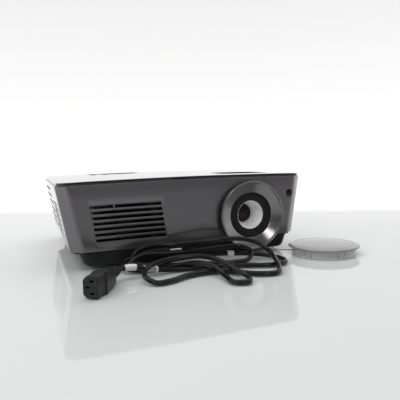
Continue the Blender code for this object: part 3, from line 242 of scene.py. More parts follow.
def make_smear_group():
    """Roughness that wanders a little, as on gloss that has been wiped and handled."""
    group, given, result = new_group(
        "wiped_gloss",
        [("Vector", "NodeSocketVector", (0, 0, 0)), ("Roughness", "NodeSocketFloat", 0.2),
         ("Amount", "NodeSocketFloat", 0.08)],
        [("Roughness", "NodeSocketFloat", None)],
    )
    stretch = add_node(group, "ShaderNodeMapping", Scale=(1.0, 2.2, 1.4), Rotation=(0.3, 0.2, 0.7))
    smear = add_node(group, "ShaderNodeTexNoise", Scale=22.0, Detail=5.0, Roughness=0.62, Distortion=0.8)
    group.links.new(given.outputs["Vector"], stretch.inputs["Vector"])
    group.links.new(stretch.outputs[0], smear.inputs["Vector"])
    centred = math_node(group, "SUBTRACT", smear.outputs[0], 0.45)
    change = math_node(group, "MULTIPLY", centred, given.outputs["Amount"])
    total = math_node(group, "ADD", given.outputs["Roughness"], change)
    group.links.new(math_node(group, "MAXIMUM", total, 0.02), result.inputs["Roughness"])
    return group


def make_dust_group():
    """The colour with specks and a thin film of dust wherever the surface faces up."""
    group, given, result = new_group(
        "settled_dust",
        [("Vector", "NodeSocketVector", (0, 0, 0)), ("Color", "NodeSocketColor", (0.1, 0.1, 0.1, 1)),
         ("Amount", "NodeSocketFloat", 0.1)],
        [("Color", "NodeSocketColor", None)],
    )
    specks = add_node(group, "ShaderNodeTexNoise", Scale=420.0, Detail=2.0, Roughness=0.5)
    group.links.new(given.outputs["Vector"], specks.inputs["Vector"])
    film = add_node(group, "ShaderNodeTexNoise", Scale=9.0, Detail=4.0)
    group.links.new(given.outputs["Vector"], film.inputs["Vector"])
    sharp = add_node(group, "ShaderNodeMapRange", From_Min=0.62, From_Max=0.74)
    group.links.new(specks.outputs[0], sharp.inputs["Value"])
    shape = group.nodes.new("ShaderNodeNewGeometry")
    apart = group.nodes.new("ShaderNodeSeparateXYZ")
    group.links.new(shape.outputs["Normal"], apart.inputs[0])
    upward = math_node(group, "MAXIMUM", apart.outputs["Z"], 0.0)
    both = math_node(group, "ADD", sharp.outputs[0], math_node(group, "MULTIPLY", film.outputs[0], 0.35))
    share = math_node(group, "MULTIPLY", math_node(group, "MULTIPLY", both, upward), given.outputs["Amount"])
    blend = group.nodes.new("ShaderNodeMix")
    blend.data_type = "RGBA"
    blend.inputs["B"].default_value = (0.55, 0.54, 0.52, 1)
    group.links.new(share, blend.inputs["Factor"])
    group.links.new(given.outputs["Color"], blend.inputs["A"])
    group.links.new(blend.outputs["Result"], result.inputs["Color"])
    return group


GRAIN = make_grain_group()
SMEAR = make_smear_group()
DUST = make_dust_group()


def place_group(material, group, vector, **values):
    node = material.node_tree.nodes.new("ShaderNodeGroup")
    node.node_tree = group
    for name, value in values.items():
        node.inputs[name].default_value = value
    linked(material, vector, node.inputs["Vector"])
    return node


def finish(name, colour, roughness, metallic=0.0, grain=(900.0, 0.00002), wave=0.3, smear=0.06, dust=0.12,
           **plain):
    """A material: colour under settled dust, wandering roughness, and a grain of (scale, depth in metres)."""
    material = bpy.data.materials.new(name)
    material.use_nodes = True
    tree = material.node_tree
    shader = tree.nodes["Principled BSDF"]
    place = tree.nodes.new("ShaderNodeTexCoord").outputs["Object"]
    dusty = place_group(material, DUST, place, Color=(*colour, 1), Amount=dust)
    linked(material, dusty.outputs["Color"], shader.inputs["Base Color"])
    handled = place_group(material, SMEAR, place, Roughness=roughness, Amount=smear)
    linked(material, handled.outputs["Roughness"], shader.inputs["Roughness"])
    texture = place_group(material, GRAIN, place, Scale=grain[0], Waviness=wave)
    bump = add_node(tree, "ShaderNodeBump", Strength=1.0, Distance=grain[1])
    linked(material, texture.outputs["Height"], bump.inputs["Height"])
    linked(material, bump.outputs["Normal"], shader.inputs["Normal"])
    shader.inputs["Metallic"].default_value = metallic
    for label, value in plain.items():
        shader.inputs[label.replace("_", " ")].default_value = value
    return material


def settle(obj, sharp=35):
    """Makes the modifiers part of the mesh and shades it smooth up to an angle in degrees."""
    graph = bpy.context.evaluated_depsgraph_get()
    mesh = bpy.data.meshes.new_from_object(obj.evaluated_get(graph))
    obj.modifiers.clear()
    obj.data = mesh
    mesh.shade_smooth()
    mesh.set_sharp_from_angle(angle=radians(sharp))
    return obj


def closed_up(obj, near=1e-6):
    """Merges points that lie together, drops what collapsed and turns every face outwards."""
    bm = bmesh.new()
    bm.from_mesh(obj.data)
    bmesh.ops.remove_doubles(bm, verts=bm.verts, dist=near)
    bmesh.ops.dissolve_degenerate(bm, edges=bm.edges, dist=near)
    bmesh.ops.recalc_face_normals(bm, faces=bm.faces)
    bm.to_mesh(obj.data)
    bm.free()
    return obj


def grid_mesh(name, grid, round_rows=False, round_columns=False, ends=False):
    """Quads over a (rows, columns, 3) grid of points, closed round either way or capped at both ends."""
    rows, columns = grid.shape[:2]
    index = np.arange(rows * columns).reshape(rows, columns)
    first, last = index[0].tolist(), index[-1].tolist()
    if round_columns:
        index = np.hstack([index, index[:, :1]])
    if round_rows:
        index = np.vstack([index, index[:1]])
    quads = np.stack([index[:-1, :-1], index[:-1, 1:], index[1:, 1:], index[1:, :-1]], axis=-1)
    faces = quads.reshape(-1, 4).tolist()
    if ends:
        faces += [first[::-1], last]
    return closed_up(mesh_object(name, grid, faces))


def carve(obj, cutters, operation="DIFFERENCE"):
    """Cuts the cutters out of the object, then removes them."""
    for cutter in cutters:
        step = obj.modifiers.new("cut", "BOOLEAN")
        step.operation = operation
        step.solver = "EXACT"
        step.object = cutter
    settle(obj)
    for cutter in cutters:
        bpy.data.objects.remove(cutter, do_unlink=True)
    return obj


def soften(obj, width, segments=3, angle=32):
    """Rounds every edge sharper than an angle in degrees."""
    rounding = obj.modifiers.new("soft_edges", "BEVEL")
    rounding.width = width
    rounding.segments = segments
    rounding.limit_method = "ANGLE"
    rounding.angle_limit = radians(angle)
    rounding.use_clamp_overlap = True
    return settle(obj)


def fit(obj, body, material, slot, *replaced):
    """Gives a piece its finish and its body, and hides the frame nodes that it stands for."""
    obj.data.materials.clear()
    obj.data.materials.append(material)
    if body:
        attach(obj, body)
    if replaced:
        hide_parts(*replaced)
    return obj


# ---- Power lead ----
# A mains lead of two moulded rubber ends and a round black cord, about 1.8 m long and 6.8 mm across. It was
# pulled out of the box and dropped before the front panel, so it lies in loose loops over itself.

LEAD_DIAMETER = 0.0068
LEAD_STUB = 0.005  # straight at either end
CONNECTOR_FACE = np.array((-0.1700, -0.1640, 0.0138))
CONNECTOR_HEADING = radians(34)
CONNECTOR_LENGTH = 0.052
CONNECTOR_BOOT = 0.025
PLUG_END = np.array((-0.0960, -0.0510, 0.0148))
PLUG_BOOT = 0.012
SEAT_GAP = 0.0003  # between pieces that touch
LEAD_ROUTE = [
    (-0.1080, -0.0970, 0.0145), (-0.0860, -0.0955, 0.0095), (-0.0600, -0.0935, 0.0046),
    (-0.0300, -0.0970, 0.0040), (0.0040, -0.1030, 0.0040), (0.0400, -0.1150, 0.0040),
    (0.0780, -0.1300, 0.0040), (0.1030, -0.1240, 0.0040), (0.1090, -0.1060, 0.0042),
    (0.0990, -0.0840, 0.0055), (0.0780, -0.0700, 0.0075), (0.0500, -0.0635, 0.0098),
    (0.0180, -0.0635, 0.0118), (-0.0200, -0.0705, 0.0128), (-0.0580, -0.0790, 0.0130),
    (-0.0880, -0.0850, 0.0120), (-0.1065, -0.0780, 0.0155), (-0.0900, -0.0690, 0.0220),
    (-0.0480, -0.0685, 0.0205), (0.0060, -0.0665, 0.0205), (0.0400, -0.0655, 0.0215),
    (0.0620, -0.0690, 0.0205), (0.0720, -0.0800, 0.0145), (0.0620, -0.0930, 0.0060),
    (0.0400, -0.0960, 0.0040), (0.0180, -0.0890, 0.0040), (-0.0200, -0.0770, 0.0040),
    (-0.0560, -0.0668, 0.0040), (-0.0840, -0.0665, 0.0050), (-0.0990, -0.0640, 0.0135),
    (-0.0960, -0.0625, 0.0250), (-0.0750, -0.0590, 0.0325), (-0.0420, -0.0620, 0.0315),
    (-0.0050, -0.0740, 0.0340), (0.0310, -0.0810, 0.0360), (0.0640, -0.0800, 0.0325),
    (0.0840, -0.0860, 0.0250), (0.0890, -0.1030, 0.0175), (0.0840, -0.1260, 0.0134),
    (0.0780, -0.1490, 0.0065), (0.0640, -0.1680, 0.0040), (0.0400, -0.1630, 0.0040),
    (0.0180, -0.1430, 0.0040), (-0.0080, -0.1280, 0.0040), (-0.0420, -0.1300, 0.0040),
    (-0.0700, -0.1440, 0.0040), (-0.0890, -0.1460, 0.0040), (-0.0990, -0.1280, 0.0080),
    (-0.0910, -0.1070, 0.0140), (-0.0640, -0.0995, 0.0195), (-0.0200, -0.1060, 0.0215),
    (0.0020, -0.1190, 0.0170), (0.0130, -0.1480, 0.0100), (0.0190, -0.1730, 0.0050),
    (0.0120, -0.1900, 0.0040), (-0.0040, -0.1840, 0.0040), (-0.0050, -0.1550, 0.0060),
    (-0.0100, -0.1280, 0.0128), (-0.0220, -0.1060, 0.0126), (-0.0390, -0.0890, 0.0085),
    (-0.0520, -0.0800, 0.0048), (-0.0700, -0.0770, 0.0042), (-0.0940, -0.0770, 0.0042),
    (-0.1100, -0.0690, 0.0065), (-0.1120, -0.0570, 0.0120),
]


def smooth_route(points, step):
    """Points a step apart on a centripetal Catmull-Rom curve.

    Each span is blended three times over knots that are the square roots of its points' distances."""
    route = np.array(points)
    ends = np.vstack([2 * route[0] - route[1], route, 2 * route[-1] - route[-2]])
    fine = []
    for four in zip(ends, ends[1:], ends[2:], ends[3:]):
        sides = np.linalg.norm(np.diff(four, axis=0), axis=1)
        knots = np.concatenate([[0], np.cumsum(np.sqrt(sides))])
        t = np.linspace(knots[1], knots[2], 16, endpoint=False)[:, None]
        row = list(four)
        for spans in (((0, 1), (1, 2), (2, 3)), ((0, 2), (1, 3)), ((1, 2),)):
            shares = [(t - knots[i]) / (knots[j] - knots[i]) for i, j in spans]
            row = [p * (1 - share) + q * share for p, q, share in zip(row, row[1:], shares)]
        fine.append(row[0])
    fine = np.concatenate([*fine, route[-1:]])
    along = np.concatenate([[0], np.cumsum(np.linalg.norm(np.diff(fine, axis=0), axis=1))])
    places = np.linspace(0, along[-1], ceil(along[-1] / step) + 1)
    return np.stack([np.interp(places, along, fine[:, k]) for k in range(3)], axis=1)


def path_frames(path):
    """Two unit vectors square to a path at each point, one of them level: the path never stands upright."""
    ahead = np.gradient(path, axis=0)
    ahead /= np.linalg.norm(ahead, axis=1, keepdims=True)
    side = np.cross(ahead, (0.0, 0.0, 1.0))
    side /= np.linalg.norm(side, axis=1, keepdims=True)
    return side, np.cross(side, ahead)


def tube_grid(path, radii, sides):
    """Rings of points about a path: path plus radius times (cos a * side + sin a * up)."""
    side, up = path_frames(path)
    angle = np.linspace(0, 2 * pi, sides, endpoint=False)[None, :, None]
    ring = np.cos(angle) * side[:, None] + np.sin(angle) * up[:, None]
    return path[:, None] + np.broadcast_to(np.asarray(radii, float).reshape(-1, 1, 1),
                                           (len(path), 1, 1)) * ring


heading = np.array((sin(CONNECTOR_HEADING), cos(CONNECTOR_HEADING), 0))
lead_start = CONNECTOR_FACE + (CONNECTOR_LENGTH + CONNECTOR_BOOT + SEAT_GAP) * heading
lead_end = PLUG_END - (SEAT_GAP, 0, 0)
loose_ends = (tuple(lead_start + LEAD_STUB * heading), tuple(lead_end - (LEAD_STUB, 0, 0)))
lead_path = np.vstack([lead_start, smooth_route([loose_ends[0], *LEAD_ROUTE, loose_ends[1]], 0.004),
                       lead_end])

cord_rubber = finish("cord_rubber", (0.0045, 0.0045, 0.005), 0.17, grain=(260.0, 0.00010), wave=1.2,
                     smear=0.14, dust=0.02, Specular_IOR_Level=0.36)
cord_line = bpy.data.curves.new("power_cord_line", "CURVE")
cord_line.dimensions = "3D"
cord_line.bevel_depth = LEAD_DIAMETER / 2
cord_line.bevel_resolution = 4
cord_line.use_fill_caps = True
spline = cord_line.splines.new("POLY")
spline.points.add(len(lead_path) - 1)
spline.points.foreach_set("co", np.hstack([lead_path, np.ones((len(lead_path), 1))]).ravel())
spline.use_smooth = True
lead = bpy.data.objects.new("power_cord_skin", cord_line)
scene.collection.objects.link(lead)
fit(lead, "projector", cord_rubber, "black_rubber", "power_cord")


def turned_frame(origin, ahead, up=(0.0, 0.0, 1.0)):
    """Local axes for a piece that points ahead: x to its right seen from behind, y up and z ahead."""
    ahead = np.asarray(ahead, float) / np.linalg.norm(ahead)
    right = np.cross(ahead, up)
    right = right / np.linalg.norm(right)
    return np.asarray(origin, float), np.stack([right, np.cross(right, ahead), ahead])


def set_in(frame_of_piece, points):
    """Local points, in the axes of turned_frame, to their places over the table."""
    origin, axes = frame_of_piece
    return origin + np.asarray(points) @ axes


def corner_loop(half_x, half_y, radius, steps=6):
    """Points round a rectangle whose four corners are quarter circles; radius may be one value or four."""
    radii = np.broadcast_to(radius, 4)
    turn = np.linspace(0, pi / 2, steps + 1)
    loop = []
    for k, (sx, sy) in enumerate(((1, 1), (-1, 1), (-1, -1), (1, -1))):
        centre = (sx * (half_x - radii[k]), sy * (half_y - radii[k]))
        angle = turn + k * pi / 2
        loop.append(np.stack([centre[0] + radii[k] * np.cos(angle), centre[1] + radii[k] * np.sin(angle)],
                             axis=1))
    return np.concatenate(loop)


def stacked(name, loops, heights, place):
    """A closed solid over loops of points in a plane, one for each height, capped at both ends."""
    grid = np.stack([np.column_stack([loop, np.full(len(loop), height)]) for loop,
                     height in zip(loops, heights)])
    return grid_mesh(name, set_in(place, grid), round_columns=True, ends=True)


def moulded_block(name, half_x, half_y, heights, corner, edge, place, steps=6):
    """A block with rounded corners, whose rims at both ends are quarter rounds of radius edge."""
    low, high = heights
    turn = np.linspace(0, pi / 2, 5)
    insets = np.concatenate([edge * (1 - np.sin(turn)), edge * (1 - np.cos(turn))])
    levels = np.concatenate([low + edge * (1 - np.cos(turn)), high - edge * (1 - np.sin(turn))])
    loops = [corner_loop(half_x - inset, half_y - inset, np.maximum(corner - inset, 0.0001), steps)
             for inset in insets]
    return stacked(name, loops, levels, place)


def lathe(name, profile, place, steps=64, closed=True):
    """A profile of (radius, height) points turned about the piece's z axis; an open one ends on the axis."""
    radius, height = np.asarray(profile, float).T
    angle = np.linspace(0, 2 * pi, steps, endpoint=False)
    grid = np.stack([radius[:, None] * np.cos(angle), radius[:, None] * np.sin(angle),
                     np.broadcast_to(height[:, None], (len(radius), steps))], axis=-1)
    return grid_mesh(name, set_in(place, grid), round_rows=closed, round_columns=True)


def bar_over(name, loop, span, place):
    """A straight closed solid over one loop, between two heights."""
    return stacked(name, [loop, loop], span, place)


def rod(name, radius, span, place, steps=32):
    """A plain round solid between two heights."""
    low, high = span
    return lathe(name, [(0, high), (radius, high), (radius, low), (0, low)], place, steps, closed=False)


def standing(x, y):
    """The axes of a piece that stands unturned over a point of the table."""
    return np.array((x, y, 0.0)), np.eye(3)


def arc(centre, radius, start, stop, count=6):
    """Points on a circular arc between two angles in degrees."""
    angle = np.radians(np.linspace(start, stop, count))
    return [(centre[0] + radius * cos(a), centre[1] + radius * sin(a)) for a in angle]


def merged(name, pieces):
    """Several meshes made one, with their points as they were."""
    bm = bmesh.new()
    for piece in pieces:
        bm.from_mesh(piece.data)
        bpy.data.objects.remove(piece, do_unlink=True)
    mesh = bpy.data.meshes.new(name)
    bm.to_mesh(mesh)
    bm.free()
    obj = bpy.data.objects.new(name, mesh)
    scene.collection.objects.link(obj)
    return obj


connector_frame = turned_frame(CONNECTOR_FACE, heading)


def chamfered_loop(half_x, half_y, cut, radius, steps=3):
    """Points round a rectangle whose corners on -x are cut off at 45 degrees; all six corners are rounded."""
    corners = np.array([(half_x, half_y), (-half_x + cut, half_y), (-half_x, half_y - cut),
                        (-half_x, -half_y + cut), (-half_x + cut, -half_y), (half_x, -half_y)])
    loop = []
    for before, corner, after in zip(np.roll(corners, 1, 0), corners, np.roll(corners, -1, 0)):
        back, on = before - corner, after - corner
        back, on = back / np.linalg.norm(back), on / np.linalg.norm(on)
        t = np.linspace(0, 1, steps + 1)[:, None]
        start, stop = corner + back * radius, corner + on * radius
        loop.append((1 - t) ** 2 * start + 2 * t * (1 - t) * corner + t**2 * stop)
    return np.concatenate(loop)


def make_connector():
    """The appliance end: a six-sided nose with three contact slots, a collar, a grip and a ribbed boot."""
    nose, collar, grip = 0.0190, 0.0215, CONNECTOR_LENGTH
    steps = [  # height, half width, half height, corner cut
        (0.0000, 0.0085, 0.0121, 0.0042), (0.0006, 0.0091, 0.0127, 0.0044), (nose, 0.0092, 0.0128, 0.0044),
        (nose + 0.0003, 0.0106, 0.0133, 0.0044), (collar, 0.0108, 0.0135, 0.0044),
        (collar + 0.0030, 0.0108, 0.0135, 0.0043), (collar + 0.0036, 0.0099, 0.0131, 0.0040),
        (collar + 0.0130, 0.0096, 0.0122, 0.0036), (grip - 0.0060, 0.0092, 0.0108, 0.0034),
        (grip - 0.0012, 0.0087, 0.0098, 0.0034), (grip, 0.0078, 0.0088, 0.0034),
    ]
    loops = [chamfered_loop(x, y, cut, 0.0014) for _, x, y, cut in steps]
    body = stacked("power_connector_body", loops, [row[0] for row in steps], connector_frame)
    cutters = [bar_over("slot", corner_loop(0.0025, 0.0012, 0.0003, 1) + at, (-0.004, 0.014), connector_frame)
               for at in ((0.0022, -0.0070), (0.0022, 0.0070), (-0.0030, 0.0))]
    carve(body, cutters)
    soften(body, 0.0005, 2, 40)
    z = np.linspace(0, CONNECTOR_BOOT, 76)
    share = z / CONNECTOR_BOOT
    ribs = 0.00055 * np.clip(np.sin(2 * pi * z / 0.0036) * 3, -1, 1) * (share > 0.06) * (share < 0.93)
    radius = 0.0078 - 0.0034 * share**0.8 + ribs
    outline = [(0.0, CONNECTOR_LENGTH - 0.002), (0.0078, CONNECTOR_LENGTH - 0.002),
               *zip(radius, z + CONNECTOR_LENGTH), (0.0, CONNECTOR_LENGTH + CONNECTOR_BOOT)]
    boot = settle(lathe("boot", outline, connector_frame, 40, closed=False))
    return fit(merged("power_connector_skin", [body, boot]), "projector", end_rubber, "black_rubber",
               "power_connector")


def make_mains_plug():
    """The wall end: a grip with finger grooves and a short boot, two flat blades and a round earth pin."""
    place = turned_frame(PLUG_END, (1, 0, 0))
    length, half_y, half_z = 0.040, 0.01075, 0.0095
    z = np.linspace(0, 1, 30)
    swell = np.sin(pi * np.clip(z * 1.05, 0, 1)) ** 0.5
    groove = 0.0007 * np.clip(np.sin(2 * pi * z * 9), 0, 1) * (z < 0.55)
    loops = [corner_loop((0.72 + 0.28 * s) * half_y - g, (0.72 + 0.28 * s) * half_z - g, 0.0042) for s, g in
             zip(np.maximum(swell, z > 0.5), groove)]
    grip = stacked("grip", loops, PLUG_BOOT + z * length, place)
    boot_z = np.linspace(0, PLUG_BOOT + 0.001, 40)
    boot_ribs = 0.0004 * np.sign(np.sin(2 * pi * boot_z / 0.0030))
    boot_r = 0.0044 + 0.0032 * (boot_z / PLUG_BOOT) ** 1.3 + boot_ribs
    boot = lathe("boot", [(0, 0), *zip(boot_r, boot_z), (0, PLUG_BOOT + 0.001)], place, 32, closed=False)
    face = PLUG_BOOT + length
    body = settle(merged("mains_plug_skin", [soften(grip, 0.0006, 2), boot]))
    fit(body, "projector", end_rubber, "black_rubber", "mains_plug")
    blades = [moulded_block("blade", 0.00075, 0.00315, (face - 0.001, face + 0.0175), 0.0003, 0.0003,
                            turned_frame(PLUG_END + (0, side * 0.00635, -0.00305), (1, 0, 0)), 1)
              for side in (-1, 1)]
    pin = [(0, face - 0.001), (0.0024, face - 0.001), (0.0024, face + 0.0165),
           *arc((0, face + 0.0171), 0.0024, 0, 80), (0, face + 0.0195)]
    blades.append(lathe("pin", pin, turned_frame(PLUG_END + (0, 0, 0.0062), (1, 0, 0)), 24, closed=False))
    metal = settle(merged("mains_plug_blades", blades))
    fit(metal, "projector", plated_brass, "bare_metal")
    return body, metal


def cord_sleeve(name, start, length, radius, material):
    """A label wrapped round the cord from a distance along it: rings about the cord, bulged mid-way."""
    along = np.concatenate([[0], np.cumsum(np.linalg.norm(np.diff(lead_path, axis=0), axis=1))])
    places = np.linspace(start, start + length, 12)
    path = np.stack([np.interp(places, along, lead_path[:, k]) for k in range(3)], axis=1)
    share = np.linspace(0, 1, 12)
    outer = tube_grid(path, radius + 0.00012 * np.sin(pi * share), 28)
    inner = tube_grid(path, np.full(12, LEAD_DIAMETER / 2 + 0.00008), 28)
    grid = np.concatenate([outer, inner[::-1]])
    sleeve = settle(grid_mesh(name, grid, round_rows=True, round_columns=True), 50)
    return fit(sleeve, "projector", material, "clear_plastic")


end_rubber = finish("end_rubber", (0.0115, 0.0115, 0.012), 0.36, grain=(700.0, 0.00003), wave=0.4, smear=0.14,
                    dust=0.08, Specular_IOR_Level=0.36)
plated_brass = finish("plated_brass", (0.72, 0.70, 0.66), 0.22, metallic=1.0, grain=(500.0, 0.00001),
                      dust=0.02)
label_paper = finish("label_paper", (0.74, 0.75, 0.74), 0.45, grain=(900.0, 0.00003), dust=0.0)
clear_label = finish("clear_label", (0.55, 0.57, 0.56), 0.18, grain=(700.0, 0.00002), dust=0.0,
                     Transmission_Weight=0.35)
connector = make_connector()
plug, plug_blades = make_mains_plug()
labels = [
    cord_sleeve("paper_label_sleeve", 0.012, 0.014, 0.0042, label_paper),
    cord_sleeve("clear_label_sleeve", 0.036, 0.015, 0.0041, clear_label),
    cord_sleeve("clear_label_band", 0.052, 0.004, 0.0043, label_paper),
    cord_sleeve("second_paper_label", 0.337, 0.010, 0.0041, label_paper),
]


# ---- Shell ----
# Two injection-moulded pieces, a front panel that wraps round the corners and a housing behind it, both
# sprayed in a dark metallic lacquer. Their sides lean out as they rise, and their tops follow the crown.

CROWN = 0.0024
FACET = (0.0125, 0.0155)  # how far the corner facet reaches along the side and along the front
CREASE = (0.0026, 0.0042)
SHELL_WALL = 0.0025
panel_low, panel_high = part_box("front_panel")
housing_low, housing_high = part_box("main_housing")
FRONT_Y, REAR_Y = panel_low.y, housing_high.y
SHELL_BOTTOM, SHELL_TOP = panel_low.z, panel_high.z - CROWN
SPLIT_Y = (panel_high.y + housing_low.y) / 2
SPLIT_GAP = housing_low.y - panel_high.y
TOP_WIDTH = housing_high.x - housing_low.x
LOW_WIDTH = 0.356
SLOT_COUNT = 7
SLOT_HEIGHT = 0.0036
SLOT_PITCH = 0.00775
TOP_SLOT_Z = 0.088
REAR_BANK_Z = 0.106 - 0.0125 * np.arange(6)  # heights of the long slots at the left rear
INLET_HALF = (0.01225, 0.00825)  # of the power inlet's cavity
INLET_WALL = 0.0015


def crown(x):
    """How far the top stands above its edges: a parabola over the width."""
    return CROWN * (1 - np.minimum(1, (2 * np.asarray(x) / TOP_WIDTH) ** 2))


def corner_path(inset, turns):
    """Points round one corner as (in from the side, in from the end): a facet between two rounded creases.

    The facet runs from FACET[0] along the side to FACET[1] along the end, moved in by inset. Each crease is a
    quadratic curve whose legs are the crease's length."""
    along_side, along_end = FACET
    lean = (1 / along_side**2 + 1 / along_end**2) ** 0.5
    shift = 1 + inset * lean
    knee = np.array(((inset, along_side * (shift - inset / along_end)),
                     (along_end * (shift - inset / along_side), inset)))
    t = np.linspace(0, 1, turns // 2 + 1)[:, None]
    on = (knee[1] - knee[0]) / np.linalg.norm(knee[1] - knee[0])
    path = []
    for corner, before, after, leg in ((knee[0], (0.0, 1.0), on, CREASE[0]),
                                       (knee[1], -on, (1.0, 0.0), CREASE[1])):
        start, stop = corner + np.array(before) * leg, corner + np.array(after) * leg
        path.append((1 - t) ** 2 * start + 2 * t * (1 - t) * corner + t**2 * stop)
    return np.concatenate(path)


def shell_loop(z, inset, stretch):
    """Points round the shell at one height, a distance inside its face: straight sides and faceted corners.

    stretch gives the number of points along the front and rear, each side, and each corner."""
    across, along, turns = stretch
    share = (z - SHELL_BOTTOM) / (SHELL_TOP - SHELL_BOTTOM)
    half = (LOW_WIDTH + (TOP_WIDTH - LOW_WIDTH) * share) / 2
    path = corner_path(inset, turns)
    pieces = [path * (1, 1) + (-half, FRONT_Y), path[::-1] * (-1, 1) + (half, FRONT_Y),
              path * (-1, -1) + (half, REAR_Y), path[::-1] * (1, -1) + (-half, REAR_Y)]
    loop = []
    for i, piece in enumerate(pieces):
        following = pieces[(i + 1) % 4][0]
        count = along if i % 2 else across
        t = np.linspace(0, 1, count + 1)[1:-1, None]
        loop += [piece, piece[-1] * (1 - t) + following * t]
    return np.concatenate(loop)


def wall_profile(lip):
    """(inset, height) points round the wall's section, from the foot of its face up and over to its back.

    The foot turns in on a larger round than the top, and the top round meets the covers."""
    foot = arc((0.0016, SHELL_BOTTOM + 0.0016), 0.0016, 270, 180, 5)
    top = arc((lip, SHELL_TOP - lip), lip, 180, 90, 5)
    back = [(SHELL_WALL - 0.0003, SHELL_TOP), (SHELL_WALL, SHELL_TOP - 0.0004), (SHELL_WALL, SHELL_BOTTOM)]
    face = [(0.0, SHELL_BOTTOM + share * (SHELL_TOP - SHELL_BOTTOM)) for share in (0.2, 0.4, 0.6, 0.8)]
    return [*foot, *face, *top, *back]


def shell_wall(name, keep, lip):
    """The wall as one closed ring over its section and outline, then cut off across at the split."""
    rows = []
    for inset, z in wall_profile(lip):
        loop = shell_loop(z, inset, (40, 24, 10))
        lift = crown(loop[:, 0]) * np.clip((z - SHELL_BOTTOM) / (SHELL_TOP - SHELL_BOTTOM), 0, 1) ** 4
        rows.append(np.column_stack([loop, z + lift]))
    wall = grid_mesh(name, np.stack(rows), round_rows=True, round_columns=True)
    low, high = keep
    middle = turned_frame((0, (low + high) / 2, 0), (0, 0, 1), (0, 1, 0))
    box = bar_over("keep", corner_loop(0.3, (high - low) / 2, 0.001, 1), (-0.1, 0.3), middle)
    return carve(wall, [box], "INTERSECT")


def vent_cutter(first, last, middle_z, depth_axis, depth):
    """A bar with round ends that cuts one slot, long in X through the front or long in Y through a side."""
    half = (last - first) / 2
    loop = corner_loop(half, SLOT_HEIGHT / 2, SLOT_HEIGHT * 0.49, 4)
    at = (first + last) / 2
    if depth_axis == "y":
        lead_in = [loop, loop]
        for rise in (0.0006, 0.0012, 0.0018, 0.0018):
            wider = corner_loop(half + 0.1 * rise, (SLOT_HEIGHT + rise) / 2, SLOT_HEIGHT * 0.49, 4)
            lead_in.append(wider + (0, rise / 2))
        return stacked("slot", lead_in, (-0.01, -0.0010, -0.0006, -0.0003, 0.0, 0.01),
                       turned_frame((at, depth, middle_z), (0, -1, 0)))
    return bar_over("slot", loop, (-0.03, 0.03), turned_frame((depth, at, middle_z), (1, 0, 0)))


LENS_X, LENS_Z = 0.0955, 0.0612
LENS_HOLE = 0.0456
gunmetal = finish("gunmetal_lacquer", (0.160, 0.152, 0.160), 0.33, metallic=0.85, grain=(2600.0, 0.000010),
                  wave=0.1, smear=0.07, dust=0.06, Coat_Weight=0.9, Coat_Roughness=0.07)


def make_front_panel():
    panel = shell_wall("front_panel_shell", (FRONT_Y - 0.05, SPLIT_Y - SPLIT_GAP / 2), 0.0010)
    cutters = [vent_cutter(-0.150 + row * 0.0011, -0.048 + row * 0.0011, TOP_SLOT_Z - row * SLOT_PITCH, "y",
                           FRONT_Y) for row in range(SLOT_COUNT)]
    facing = turned_frame((LENS_X, FRONT_Y, LENS_Z), (0, -1, 0))
    circle = rod("lens_hole", LENS_HOLE, (-0.02, 0.02), facing, 72)
    window_at = turned_frame((0.167, FRONT_Y, 0.0923), (0, -1, 0))
    window = rod("window_hole", 0.006, (-0.02, 0.02), window_at, 40)
    carve(panel, [*cutters, circle, window])
    soften(panel, 0.0007, 3, 40)
    return fit(panel, "projector", gunmetal, "gunmetal_paint", "front_panel")


def make_housing():
    housing = shell_wall("main_housing_shell", (SPLIT_Y + SPLIT_GAP / 2, REAR_Y + 0.05), 0.0010)
    cutters = []
    for side, start in ((-1, 0.025), (1, 0.160)):
        middles = [TOP_SLOT_Z - row * SLOT_PITCH for row in range(SLOT_COUNT)]
        cutters += [vent_cutter(start, start + 0.090, z, "x", side * (LOW_WIDTH + TOP_WIDTH) / 4)
                    for z in middles]
    cutters += [vent_cutter(0.135, 0.262, z, "x", -(LOW_WIDTH + TOP_WIDTH) / 4) for z in REAR_BANK_Z.tolist()]
    plate_low, plate_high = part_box("rear_io_plate")
    inlet_low, inlet_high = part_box("ac_inlet")
    plate_half = ((plate_high.x - plate_low.x) / 2, (plate_high.z - plate_low.z) / 2)
    inlet_half = [half + INLET_WALL for half in INLET_HALF]
    for low, high, halves in ((plate_low, plate_high, plate_half), (inlet_low, inlet_high, inlet_half)):
        half_x, half_z = (half + SEAT_GAP for half in halves)
        at = turned_frame(((low.x + high.x) / 2, REAR_Y, (low.z + high.z) / 2), (0, 1, 0))
        cutters.append(bar_over("opening", corner_loop(half_x, half_z, 0.0008, 2), (-0.01, 0.01), at))
    carve(housing, cutters)
    soften(housing, 0.0006, 3, 40)
    return fit(housing, "projector", gunmetal, "gunmetal_paint", "main_housing")


front_panel = make_front_panel()
main_housing = make_housing()


# ---- Top covers ----
# Two gloss-black acrylic-faced plates lie on the shell, split by one slanting seam. They are moulded with the
# shell's crown, stop short of its edges all round, and are held by clips from below.

COVER_INSET = 0.0022
SEAM_X = (0.050, 0.074)  # at the front face and at the rear
SEAM_WIDTH = 0.0006
FINGER_OPENING = (0.116, 0.045, 0.044, 0.033, 0.018)  # middle x, middle y, half width, half depth, corner
KEYPAD_AT = (-0.070, 0.222)
KEYPAD_HALF = (0.046, 0.026)
upright = ((0, 0, 1), (0, 1, 0))
piano_black = finish("piano_black", (0.0042, 0.0042, 0.0046), 0.055, grain=(60.0, 0.000004), smear=0.05,
                     dust=0.04, Specular_IOR_Level=0.5, Coat_Weight=0.35, Coat_Roughness=0.03)


